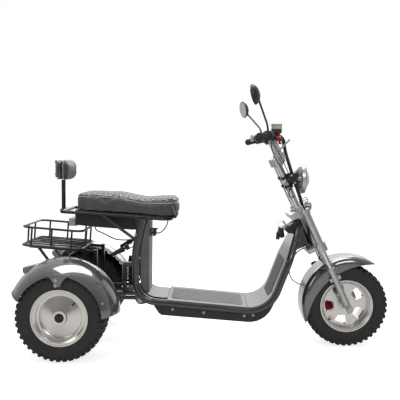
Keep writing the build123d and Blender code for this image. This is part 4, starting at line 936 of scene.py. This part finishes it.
def make_chassis_fasteners(steel):
    """Bolts along the tray and on the frame, and those through the rear fenders' tabs and front ends."""
    bolts = Form()
    rivets = Form()
    tab = []
    for turn, radius in ((93.0, 0.190), (93.5, 0.165)):
        angle = math.radians(turn)
        tab.append((
            FENDER_CENTRE[0] + radius * math.cos(angle), FENDER_CENTRE[1] + radius * math.sin(angle), 5.2,
        ))
    for side in (-1, 1):
        for x, z, radius, names in (
            (-0.177, 0.206, 4.2, ["battery_tray"]), (-0.014, 0.192, 4.2, ["battery_tray"]),
            (0.200, 0.178, 4.2, ["battery_tray"]), (0.246, 0.182, 4.2, ["battery_tray"]),
            (-0.350, 0.253, 8.5, TUBES), (-0.372, 0.600, 5.0, TUBES),
        ):
            place, _ = face_beside(names, x, z, side)
            bolts.bolt(place, (0, side, 0), radius)
        for x, z, radius in (*tab, (-0.497, 0.300, 3.6)):
            rivets.bolt(*face_beside(["rear_fenders"], x, z, side), radius)
    bolts.piece("frame_bolts", steel, "chassis", "brushed_steel")
    rivets.piece("fender_bolts", steel, "chassis", "brushed_steel")


def make_column_trim(strip_shader, steel):
    """The panel let into the column's front, and the lock and screws on the seat's latch."""
    half, bottom, top = 0.066, 0.320, 0.660
    rows = []
    for k in range(60):
        z = bottom + (top - bottom) * k / 59
        row = []
        for m in range(13):
            y = half * (m / 6 - 1)
            place, _ = cast(["column_cover"], (0.2, y, z), (-1, 0, 0))
            edge = min(half - abs(y), z - bottom, top - z)
            row.append(place + Vector((0.0004 + 0.0016 * step_up(edge, 0.0, 0.004), 0, 0)))
        rows.append(row)
    strip = Form()
    strip.rings(rows, closed=False)
    strip.piece("column_front_panel", strip_shader, "chassis", "column_plastic", sharp=50.0)
    latch = Form()
    low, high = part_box("seat_latch")
    lock = (high.x - 0.008, (low.y + high.y) / 2, 0.597)
    latch.turned([(0, 0), (8.5, 0), (8.5, 3.5), (7, 4.5), (0, 4.5)], lock, (1, 0, 0), 20)
    for z in (0.590, 0.614):
        latch.bolt((low.x + 0.012, low.y - 0.0002, z), (0, -1, 0), 3.5)
    latch.piece("latch_hardware", steel, "chassis", "brushed_steel")


def make_deck_trim(dark):
    """Dark gaskets in the seams between the deck's panels."""
    form = Form()
    for x in (-0.2055, 0.2155):
        line = []
        for k in range(41):
            y = -0.150 + 0.0075 * k
            place, _ = cast(["floor_panel", "ramp_panel", "leg_shield"], (x - 0.002, y, 0.6), (0, 0, -1))
            if place is not None:
                line.append(place + Vector((0.002, 0, -0.0004)))
        form.tube(line, 1.3, sides=8)
    form.piece("panel_seams", dark, "chassis", "panel_black", sharp=60.0)


# ---- headlight, fork and horn

LAMP_FACE = Vector((0.5113, 0, 0.898))
LENS_REACH = 72.4
LENS_DEPTH = 35.5


def make_headlight(rim_shader, glass_shader, bulb_shader, steel):
    """The lamp's rim, reflector, bulb and domed lens, and the bolts that hold it to its bracket."""
    rim = Form()
    rim.turned([
        (76.5, -12), (79.5, -11), (79.8, -4), (79.5, 4), (78.5, 9), (76.5, 11.5), (74, 11.8), (72.8, 10),
        (72.6, 6), (72.6, 0), (75, -2),
    ], LAMP_FACE, (1, 0, 0), 72)
    rim.piece("headlight_rim", rim_shader, "steering", "chrome_tube", sharp=32.0)
    bowl = Form()
    rows = []
    for k in range(15):
        t = k / 14
        rows.append((72.2 * (1 - t) + 10 * t, 9.5 * (1 - t) ** 2 + 0.6))
    bowl.turned(rows + [(0, 0.6)], LAMP_FACE, (1, 0, 0), 72)
    bowl.piece("headlight_reflector", rim_shader, "steering", "chrome_tube", sharp=50.0)
    bulb = Form()
    bulb.turned([
        (10.5, 0.6), (10.5, 4), (7.5, 4.8), (7.2, 13), (6, 18.5), (3.6, 21.2), (0, 22),
    ], LAMP_FACE, (1, 0, 0), 28)
    bulb.piece("headlight_bulb", bulb_shader, "steering", "lamp_lens", sharp=40.0)
    lens = Form()
    sphere = (LENS_REACH ** 2 + LENS_DEPTH ** 2) / (2 * LENS_DEPTH)
    outer = []
    for k in range(25):
        r = LENS_REACH * (1 - k / 24)
        outer.append((r, math.sqrt(sphere ** 2 - r ** 2) - (sphere - LENS_DEPTH)))
    inner = [(r * 0.965, along * 0.93 - 0.2) for r, along in reversed(outer)]
    lens.turned(outer + inner + [outer[0]], LAMP_FACE + Vector((0.0005, 0, 0)), (1, 0, 0), 72)
    lens.piece("headlight_dome", glass_shader, "steering", "lamp_lens", 60.0, ("headlight_lens",))
    pivots = Form()
    ears = Form()
    for side in (-1, 1):
        pivots.bolt((0.483, side * 0.0842, 0.902), (0, side, 0), 7.2)
        for s in (718, 762):
            ears.bolt(fork(60, side * 84.2, s), (0, side, 0), 4.0)
    pivots.piece("headlight_bolts", steel, "steering", "brushed_steel")
    ears.piece("bracket_bolts", steel, "steering", "brushed_steel")


def make_fork_details(steel, seal_shader):
    """Clamp bolts on the yokes, the axle's nuts and the sliders' dust seals."""
    form = Form()
    seals = Form()
    for side in (-1, 1):
        outward = (0, side, 0)
        for s in (562, 357):
            place, _ = cast(["upper_yoke", "lower_yoke"], fork(24, side * 260, s - 5.2), (0, -side, 0))
            form.bolt(place, outward, 4.6)
        axle_end = (0.750, side * 0.1412, 0.222)
        form.turned([
            (17.5, -4), (17.5, -1.5), (16.5, -1), (14, -1), (14, 6), (12.5, 7.8), (7.2, 7.8), (6.8, 6.5),
            (0, 6.5),
        ], axle_end, outward, 6)
        form.turned([(18.5, -4.5), (18.5, -2.5), (18, -2), (12, -2)], axle_end, outward, 28)
        seals.turned([
            (15, 0), (18.5, 0), (18.8, 4), (16.5, 9), (15.2, 11), (14.3, 11),
        ], fork(0, side * 116, 232), FORK_UP, 32)
    form.piece("fork_fasteners", steel, "steering", "brushed_steel")
    seals.piece("fork_seals", seal_shader, "steering", "black_plastic")


# ---- controls on the handlebar

RESERVOIR = Vector((0.347, -0.141, 0.0))


def make_reservoir(pale, fluid):
    """The brake reservoir's lid, and the window on the fluid below it."""
    lid = Form()
    lid.slab(RESERVOIR + Vector((0, 0, 1.1750)), (53, 49, 13), 3)
    lid.piece("reservoir_lid", pale, "steering", "black_plastic")
    window = Form()
    window.slab(RESERVOIR + Vector((0, 0, 1.1610)), (52, 48, 15), 2)
    window.piece("reservoir_window", fluid, "steering", "black_plastic")


def make_reservoir_screws(steel):
    """The four screws in the corners of the reservoir's lid."""
    screws = Form()
    for dx in (-0.0205, 0.0205):
        for dy in (-0.0185, 0.0185):
            place = RESERVOIR + Vector((dx, dy, 1.1813))
            screws.turned([(2.6, 0), (2.6, 0.9), (2, 1.4), (0, 1.4)], place, (0, 0, 1), 14)
    screws.piece("reservoir_screws", steel, "steering", "brushed_steel")


def make_lever_brackets(silver):
    """The stub beside the right riser and the polished bracket on the left grip."""
    stub = Form()
    line = [Vector((0.373, -0.096, 1.050)), Vector((0.398, -0.100, 1.078)), Vector((0.422, -0.100, 1.104))]
    stub.tube(line, [4.0, 5.6, 6.2], sides=14)
    stub.piece("lever_stub", silver, "steering", "fork_silver")
    bracket = Form()
    bracket.slab((0.262, 0.262, 1.128), (32, 22, 44), 8)
    bracket.turned([(0, 0), (8.5, 0), (8.5, 1), (6, 1.6), (0, 1.6)], (0.262, 0.2512, 1.134), (0, -1, 0), 20)
    bracket.piece("lever_bracket_left", silver, "steering", "fork_silver")


def make_grip(name, start, along, length, rubber_shader, dark):
    """A ribbed rubber grip with a flange at its inner end and a plug in its outer one."""
    end = length / MM
    profile = [(15, 0), (24.5, 0.6), (25, 2), (24.5, 3.6), (17.6, 4.4)]
    ribs = 26
    step = (end - 22) / ribs
    for k in range(ribs):
        at = 8 + step * k
        profile += [(16.8, at), (17.7, at + step * 0.25), (17.8, at + step * 0.6), (16.8, at + step * 0.85)]
    profile += [(17, end - 12), (18.5, end - 9), (18.6, end - 3), (16.8, end), (0, end + 0.4)]
    grip = Form()
    grip.turned(profile, start, along, 30)
    grip.piece("grip_rubber_" + name, rubber_shader, "steering", "grip_rubber", sharp=40.0)
    plug = Form()
    plug.turned([(10.8, 0), (10.8, 1.6), (8, 2.6), (0, 2.8)], start + along * (length + 0.0002), along, 24)
    plug.piece("grip_end_" + name, dark, "steering", "black_plastic")


def make_lever(name, side, root, dark, red):
    """A curved brake lever with its red pivot housing and ball end."""
    tip = root + Vector((-0.008, side * 0.150, -0.010))
    rows = []
    for k in range(16):
        t = k / 15
        point = root.lerp(tip, t) + Vector((0.002 + 0.006 * math.sin(math.pi * t), 0, 0))
        wide = 0.0066 - 0.0022 * t
        tall = 0.0060 - 0.0012 * t
        row = []
        for m in range(12):
            angle = math.pi * m / 6
            row.append(point + Vector((wide * math.cos(angle), 0, tall * math.sin(angle))))
        rows.append(row)
    lever = Form()
    lever.rings(rows)
    lever.piece("brake_lever_" + name, dark, "steering", "black_plastic", sharp=60.0)
    pivot = Form()
    pivot.slab(root + Vector((-0.002, side * 0.004, 0)), (26, 30, 24), 5)
    crown = root + Vector((0, 0, 0.0115))
    pivot.turned([(0, 0), (7.5, 0), (7.5, 3), (6, 4.2), (0, 4.2)], crown, (0, 0, 1), 22)
    pivot.turned([
        (4.5, 0), (6, 1.5), (6, 9), (8.5, 11), (8.5, 16), (6.2, 19), (0, 20),
    ], root + Vector((0.004, 0, -0.010)), (0.15, 0, -1), 18)
    pivot.piece("lever_pivot_" + name, red, "steering", "brake_red")
    ball = Form()
    ball.turned([
        (0, -6.4), (3.4, -5.6), (5.6, -3), (6.4, 0), (5.6, 3), (3.4, 5.6), (0, 6.4),
    ], tip + Vector((0.001, side * 0.001, 0)), (0.05, side, 0.1), 22)
    ball.piece("lever_tip_" + name, red, "steering", "brake_red", sharp=80.0)


def make_switches(name, inner, along, out, dark, red, pale):
    """The switch housing beside a grip, with a round button above a slide."""
    pod = Form()
    pod.turned([
        (14, -30), (21.5, -29), (23.2, -26), (23.6, -10), (21.6, -9), (21.6, -7.5), (23.6, -6.5), (23.6, 8),
        (22.5, 10.5), (15, 11.5),
    ], inner, along, 34)
    pod.slab(inner - out * 0.012 + Vector((-0.018, 0, 0.004)), (16, 26, 20), 4)
    pod.piece("switch_pod_" + name, dark, "steering", "black_plastic", sharp=34.0)
    seat = inner - out * 0.012 + Vector((-0.0262, 0, 0.007))
    button = Form()
    button.turned([(0, 0), (5.2, 0), (5.2, 2.6), (4.2, 3.6), (0, 4)], seat, (-1, 0, 0.1), 20)
    button.piece("switch_button_" + name, red, "steering", "brake_red")
    slide = Form()
    slide.slab(seat + Vector((0, 0, -0.0115)), (5, 12, 5), 1.2)
    slide.piece("switch_slide_" + name, pale, "steering", "black_plastic")


def make_bar_clamp(name, place, out, shader):
    """The ring that clamps the handlebar on a riser, with a screw above and below."""
    clamp = Form()
    clamp.turned([(11.8, -11), (17, -11), (18.2, -9.5), (18.2, 9.5), (17, 11), (11.8, 11)], place, out, 30)
    clamp.bolt(place + Vector((-0.016, 0, 0.009)), (-0.5, 0, 0.86), 4.0)
    clamp.bolt(place + Vector((-0.012, 0, -0.013)), (-0.5, 0, -0.86), 4.0)
    clamp.piece("bar_clamp_" + name, shader, "steering", "fork_silver")


def make_controls(dark, red, silver, pale, steel, fluid, rubber_shader):
    """Grips, levers, switches and clamps on both sides, and the reservoir on the right."""
    make_reservoir(pale, fluid)
    make_lever_brackets(silver)
    make_reservoir_screws(steel)
    for side, name, clamp_shader in ((-1, "right", silver), (1, "left", dark)):
        inner = Vector((0.296, side * 0.240, 1.117))
        outer = Vector((0.240, side * 0.372, 1.105))
        root = Vector((0.350, side * 0.095, 1.103))
        along = (outer - inner).normalized()
        out = (inner - root).normalized()
        start = inner + along * 0.0185
        make_grip(name, start, along, (outer + along * 0.0035 - start).length, rubber_shader, dark)
        make_lever(name, side, root + out * 0.077 + Vector((0.034, 0, -0.004)), dark, red)
        make_switches(name, inner, along, out, dark, red, pale)
        make_bar_clamp(name, root + out * 0.050, out, clamp_shader)


# ---- keys, cables and horn

def make_keys(silver, brass, dark, steel):
    """Key in the ignition lock, with a ring, spare keys and two fobs hanging from it."""
    low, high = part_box("key_panel")
    place, normal = cast(["key_panel"], (low.x + 0.018, -0.014, high.z + 0.1), (0, 0, -1))
    sideways = (0, 1, 0)
    lock = Form()
    lock.turned([
        (0, 0), (12.5, 0), (12.5, 2.2), (10.5, 5), (8.5, 5.2), (8.5, 4.4), (0, 4.4),
    ], place - normal * 0.0004, normal, 28)
    lock.piece("ignition_lock", steel, "chassis", "brushed_steel")
    bow = place + normal * 0.020
    key = Form()
    key.slab(place + normal * 0.009, (12, 6.5, 1.8), 0.6, x_axis=normal, y_axis=sideways)
    key.slab(bow + normal * 0.004, (26, 30, 7.5), 3, x_axis=normal, y_axis=sideways)
    key.piece("ignition_key", brass, "chassis", "brushed_steel")
    centre = Vector((low.x - 0.015, bow.y - 0.004, bow.z - 0.006))
    ring = Form()
    ring.ring(centre, (0.25, 1.0, 0.1), 14.5, 0.9, 40)
    ring.ring(centre + Vector((-0.006, 0.004, -0.024)), (1.0, 0.4, 0.2), 9.5, 0.8, 32)
    ring.piece("key_ring", steel, "chassis", "brushed_steel")
    for name, shader, slot, sharp, hung in (
        ("key_fobs", dark, "black_plastic", 38.0, (
            ((0.007, -0.006, -0.046), (26, 12, 54), 5, (1, 0.2, 0.15), (-0.2, 1, 0)),
            ((-0.012, 0.002, -0.062), (21, 11, 44), 4.5, (1, -0.3, -0.1), (0.3, 1, 0)),
        )),
        ("spare_keys", silver, "brushed_steel", 50.0, (
            ((0.000, -0.008, -0.036), (14, 3, 38), 1.2, (1, 0, 0.2), sideways),
            ((-0.009, -0.004, -0.030), (13, 3, 34), 1.2, (1, 0, -0.2), sideways),
        )),
    ):
        form = Form()
        for drop, size, bevel, x_axis, y_axis in hung:
            form.slab(centre + Vector(drop), size, bevel, x_axis, y_axis)
        form.piece(name, shader, "chassis", slot, sharp=sharp)


def loose_wires(name, routes, radius, shader):
    """Thin loose wires on the steering, each along a few points in millimetres."""
    form = Form()
    for route in routes:
        control = [Vector(point) * MM for point in route]
        form.tube(even(spline_points(control, 8), 0.002), radius, sides=8)
    form.piece(name, shader, "steering", "hose_black", sharp=80.0)


def make_bar_cables(shader):
    """Short switch and brake cables looped below the handlebar, behind the risers."""
    loose_wires("bar_cables", [
        [(325, -150, 1095), (340, -130, 1070), (372, -98, 1030), (402, -82, 975), (425, -76, 925)],
        [(318, -165, 1092), (322, -148, 1052), (352, -120, 1000), (392, -90, 950), (420, -80, 905)],
        [(340, 150, 1095), (352, 120, 1066), (372, 80, 1030), (385, 30, 1000), (400, -20, 968)],
        [(432, -88, 905), (408, -94, 884), (404, -93, 852), (424, -90, 836), (446, -88, 852)],
        [(440, -89, 858), (424, -95, 835), (426, -95, 806), (446, -90, 797), (462, -86, 816)],
    ], 2.3, shader)


def make_horn_detail(silver, shader):
    """The horn's stepped front and the two wires that loop up from it."""
    form = Form()
    low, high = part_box("horn")
    form.turned([
        (20.5, -9), (26.2, -8), (26.8, -6), (24, -4.6), (20, -1), (18.6, 0.4), (17, -1), (8, -3.4), (0, -3.6),
    ], (high.x, 0.028, (low.z + high.z) / 2 - 0.0005), (1, 0, 0), 40)
    form.piece("horn_grille", silver, "steering", "chrome_tube", sharp=30.0)
    routes = []
    for lift in (12, -2):
        routes.append([
            (500, 20, 756 + lift), (508, -8, 775 + lift), (530, -18, 790 + lift), (545, -6, 786),
            (540, 16, 768),
        ])
    loose_wires("horn_wires", routes, 1.6, shader)


# ---- camera, light and floor

def make_camera():
    """The photograph's view, from its turn, dip and tilt in radians."""
    turn, dip, tilt = -0.0142, 0.0712, 0.0115
    forward = Vector((math.sin(turn) * math.cos(dip), math.cos(turn) * math.cos(dip), -math.sin(dip)))
    level = Vector((math.cos(turn), -math.sin(turn), 0.0))
    upright = level.cross(forward)
    right = level * math.cos(tilt) + upright * math.sin(tilt)
    up = upright * math.cos(tilt) - level * math.sin(tilt)
    camera = bpy.data.objects.new("camera", bpy.data.cameras.new("camera"))
    bpy.context.scene.collection.objects.link(camera)
    place = Vector((0.0, -2.9305, 0.985))
    rows = [(right[i], up[i], -forward[i], place[i]) for i in range(3)]
    camera.matrix_world = Matrix((*rows, (0.0, 0.0, 0.0, 1.0)))
    camera.data.sensor_width = 36.0
    camera.data.lens = 48.6
    bpy.context.scene.camera = camera


def area_light(name, place, aim, size, power):
    """A rectangular lamp in metres and watts, turned to face a point."""
    data = bpy.data.lights.new(name, "AREA")
    data.shape = "RECTANGLE"
    data.size, data.size_y = size
    data.energy = power
    light = bpy.data.objects.new(name, data)
    bpy.context.scene.collection.objects.link(light)
    light.location = place
    light.rotation_mode = "QUATERNION"
    light.rotation_quaternion = (Vector(aim) - Vector(place)).to_track_quat("-Z", "Y")


def make_studio():
    """Soft studio light: a bright wall behind, dimmer in front, and large soft lamps above."""
    scene = bpy.context.scene
    scene.view_settings.view_transform = "Standard"
    scene.world = bpy.data.worlds.new("studio")
    scene.world.use_nodes = True
    sky = Nodes(scene.world.node_tree)
    _, y, z = sky.separated(sky.add("ShaderNodeTexCoord").outputs["Generated"])
    levels = []
    for height, stops in (
        (z, [(0.0, 0.30), (0.5, 0.62), (1.0, 0.95)]),
        (y, [(0.30, 0.42), (0.62, 0.95), (1.0, 1.0)]),
    ):
        share = sky.math("MULTIPLY_ADD", height)
        levels.append(sky.ramp(share, [(place, (level,) * 3) for place, level in stops]))
    soft = sky.tree.nodes["Background"]
    sky.link(sky.math("MULTIPLY", *levels), soft.inputs["Color"])
    soft.inputs["Strength"].default_value = 0.80
    white = sky.add("ShaderNodeBackground")
    white.inputs["Color"].default_value = (1.0, 1.0, 1.0, 1.0)
    # Camera and transmission rays see white all round, and glossy rays see it on the wall behind
    rays = sky.add("ShaderNodeLightPath").outputs
    wall = sky.spread(y, 0.35, 0.80, 0.0, 1.0)
    seen = sky.math("MAXIMUM", rays["Is Camera Ray"], rays["Is Transmission Ray"])
    seen = sky.math("MAXIMUM", seen, sky.math("MULTIPLY", rays["Is Glossy Ray"], wall))
    mix = sky.add("ShaderNodeMixShader")
    sky.link(seen, mix.inputs["Fac"])
    sky.link(soft.outputs[0], mix.inputs[1])
    sky.link(white.outputs[0], mix.inputs[2])
    sky.link(mix.outputs[0], sky.tree.nodes["World Output"].inputs["Surface"])
    middle = (0.0, 0.0, 0.5)
    area_light("overhead", (-0.2, 0.3, 3.4), middle, (3.4, 1.5), 105.0)
    area_light("key", (1.2, -3.4, 2.9), middle, (1.6, 1.2), 42.0)
    area_light("fill", (-2.8, -2.4, 1.9), (-0.2, 0.0, 0.5), (1.4, 1.4), 14.0)
    area_light("behind", (0.2, 3.2, 2.2), (0.0, 0.0, 0.6), (3.4, 1.4), 36.0)


def make_floor():
    """A pale floor that shows white to the camera and keeps the soft shadow."""
    reach = 30.0
    mesh = bpy.data.meshes.new("floor")
    corners = [(-reach, -reach, 0), (reach, -reach, 0), (reach, reach, 0), (-reach, reach, 0)]
    mesh.from_pydata(corners, [], [(0, 1, 2, 3)])
    floor = bpy.data.objects.new("floor", mesh)
    bpy.context.scene.collection.objects.link(floor)
    shader = Shader("floor_white", roughness=0.8)
    shader.colour(shader.noise(1.5, 3.0), shades((0.46, 0.46, 0.46), 0.01))
    glow = shader.add("ShaderNodeEmission")
    glow.inputs["Color"].default_value = (1.0, 1.0, 1.0, 1.0)
    rays = shader.add("ShaderNodeLightPath").outputs
    seen = shader.math("MAXIMUM", rays["Is Camera Ray"], rays["Is Transmission Ray"])
    seen = shader.math("MAXIMUM", seen, shader.math("MULTIPLY", rays["Is Glossy Ray"], 0.25))
    shader.link(shader.math("MULTIPLY", seen, 0.80), glow.inputs["Strength"])
    both = shader.add("ShaderNodeAddShader")
    shader.link(shader.principled.outputs[0], both.inputs[0])
    shader.link(glow.outputs[0], both.inputs[1])
    shader.link(both.outputs[0], shader.tree.nodes["Material Output"].inputs["Surface"])
    mesh.materials.append(shader.material)


make_camera()
make_studio()
make_floor()


# ---- finishes on the CAD nodes

black_frame = plain_finish(
    "frame_paint", (0.018, 0.0185, 0.0195), 0.18, (0.24, 0.34), patch=7.0, grain=420.0,
    grain_height=0.00003, Coat_Weight=0.9, Coat_Roughness=0.09,
)
paint("frame_tube_right frame_tube_left head_tube column_crossbars swing_arms", black_frame)
deck_plastic = plain_finish(
    "deck_plastic", (0.032, 0.033, 0.035), 0.07, (0.22, 0.28), patch=5.0, grain_height=0.0,
    Coat_Weight=0.8, Coat_Roughness=0.08, Coat_IOR=1.5,
)
paint("floor_panel ramp_panel leg_shield", deck_plastic)
tray_plastic = plain_finish(
    "tray_plastic", (0.018, 0.015, 0.0135), 0.22, (0.45, 0.62), patch=8.0, grain=1100.0, grain_height=0.0001,
)
paint("battery_tray battery_block", tray_plastic)
plastic_black = moulded_black()
paint("column_cover", moulded_black("column_grey", (0.125, 0.125, 0.127), (0.34, 0.44)))
paint("controller_box seat_base key_panel hand_controls mirrors seat_latch", plastic_black)
black_wire = plain_finish(
    "wire_black", (0.008, 0.008, 0.009), 0.2, (0.26, 0.40), patch=20.0, grain=500.0,
    grain_height=0.00006, Coat_Weight=0.25, Coat_Roughness=0.2,
)
paint("seat_rail_frame backrest_post basket basket_supports fender_stays peg_brackets", black_wire)
paint("headlight_bracket handlebar", black_wire)
paint("rear_fenders front_fender", carbon_gloss())
paint("rear_reflectors", red_lens())
pale_lens = plain_finish("pale_lens", (0.50, 0.44, 0.45), 0.08, (0.2, 0.3), patch=30.0, Coat_Weight=0.5)
paint("tail_lamp", pale_lens)
paint("fork_stanchions riser_tubes", chrome())
worn_steel = cast_silver("worn_steel", (0.24, 0.24, 0.245), (0.30, 0.45))
paint("horn", worn_steel)
paint("shock_absorbers", shock_finish())
silver = cast_silver()
paint("lower_yoke upper_yoke top_yoke fork_covers fork_sliders", silver)
steel = cast_silver("ground_steel", (0.46, 0.46, 0.47), (0.2, 0.34))
paint("front_axle brake_disc", steel)
housing = plain_finish(
    "cast_housing", (0.045, 0.045, 0.047), 0.2, (0.4, 0.6), metallic=0.4, grain=500.0, grain_height=0.0002,
)
paint("rear_axle_drive", housing)
anodised_red = plain_finish("red_anodised", (0.42, 0.014, 0.014), 0.1, (0.25, 0.35), metallic=0.5)
paint("brake_caliper", anodised_red)
enamel = plain_finish("grey_enamel", (0.20, 0.205, 0.21), 0.08, (0.22, 0.32), Coat_Weight=0.4)
paint("headlight_bucket", enamel)
glass = clear_glass("lamp_glass", (0.66, 0.68, 0.69), 0.10)
paint("headlight_lens", glass)
mirror = Shader("mirror_silver", metallic=1.0, roughness=0.03)
mirror.colour(mirror.noise(8.0, 2.0), shades((0.78, 0.79, 0.80), 0.02))
paint("mirror_glasses", mirror)
soft_black = rubber()
paint("grips peg_right peg_left", soft_black)
sleeve = rubber("sleeve_black", (0.010, 0.010, 0.0105), (0.42, 0.56))
paint("wiring_conduit brake_hose seat_cable latch_cable", sleeve)
tyre_rubber = rubber("tyre_rubber", (0.018, 0.018, 0.0185), (0.60, 0.76))
for rim_node in ("front_rim", "rear_rim_right", "rear_rim_left"):
    paint(rim_node, turned_aluminium("turned_" + rim_node, centre_of(rim_node)))
side_leather = leather("leather_side", (0.066, 0.066, 0.067), (0.34, 0.46))
# The seat's top is the side leather made lighter, a painted highlight where the overhead light falls.
lit_top_leather = leather("leather_top_lit", (0.150, 0.150, 0.152), (0.46, 0.60))
paint("seat backrest_pad", side_leather)
# The pad's leather is the side leather made darker: painted shade that holds back the extra overhead light
# reaching the pad.
pad_leather = leather("leather_pad_darkened", (0.044, 0.044, 0.0445), (0.38, 0.50))
thread = plain_finish(
    "thread", (0.80, 0.80, 0.79), 0.1, (0.6, 0.75), patch=300.0, grain=2500.0, grain_height=0.0001,
)
brass = cast_silver("brass", (0.62, 0.44, 0.16), (0.25, 0.4))
pale = plain_finish("pale_plastic", (0.40, 0.40, 0.41), 0.05, (0.35, 0.5), patch=24.0)
gasket = rubber("gasket", (0.018, 0.018, 0.018), (0.6, 0.75))
mat_rubber = rubber("mat_rubber", (0.050, 0.051, 0.053), (0.30, 0.42))
strip_tan = plain_finish("strip_tan", (0.26, 0.19, 0.15), 0.12, (0.4, 0.55), patch=12.0)
shell_grey = plain_finish("shell_grey", (0.055, 0.056, 0.059), 0.15, (0.2, 0.32), patch=20.0, Coat_Weight=0.5)
bulb_white = plain_finish("bulb_white", (0.80, 0.80, 0.78), 0.04, (0.15, 0.25), patch=50.0)
brake_fluid = plain_finish("brake_fluid", (0.50, 0.46, 0.26), 0.08, (0.2, 0.3), patch=30.0, Coat_Weight=0.5)
key_metal = plain_finish("key_metal", (0.22, 0.20, 0.16), 0.2, (0.35, 0.5), metallic=0.3, patch=60.0)
key_brass = plain_finish("key_brass", (0.42, 0.27, 0.07), 0.2, (0.3, 0.45), metallic=0.5, patch=60.0)


# ---- the scene's own pieces

make_conduit(sleeve)
for tyre_node, body in WHEELS.items():
    make_tyre(tyre_node, body, tyre_rubber)
make_seat(side_leather, lit_top_leather, thread)
make_backrest(pad_leather, shell_grey, black_wire, thread)
make_mat("floor_mat", "floor_panel", (-0.190, 0.40), (0.200, 0.40), (0, 0, -1), 0.118, mat_rubber)
make_mat("shield_mat", "leg_shield", (0.240, 0.50), (0.325, 0.72), (0.35, 0, -0.94), 0.104, mat_rubber)
details = (plastic_black, soft_black, brass)
make_wheel_details("rear_rim_right", "rear_wheel_right", -1, 45, 0.094, True, details)
make_wheel_details("rear_rim_left", "rear_wheel_left", 1, 45, 0.094, True, details)
make_wheel_details("front_rim", "front_wheel", -1, 225, 0.120, False, details)
make_chassis_fasteners(steel)
make_column_trim(strip_tan, steel)
make_deck_trim(gasket)
make_headlight(silver, glass, bulb_white, steel)
make_fork_details(steel, gasket)
make_controls(plastic_black, anodised_red, silver, pale, steel, brake_fluid, soft_black)
make_keys(key_metal, key_brass, plastic_black, worn_steel)
make_bar_cables(sleeve)
make_horn_detail(steel, sleeve)
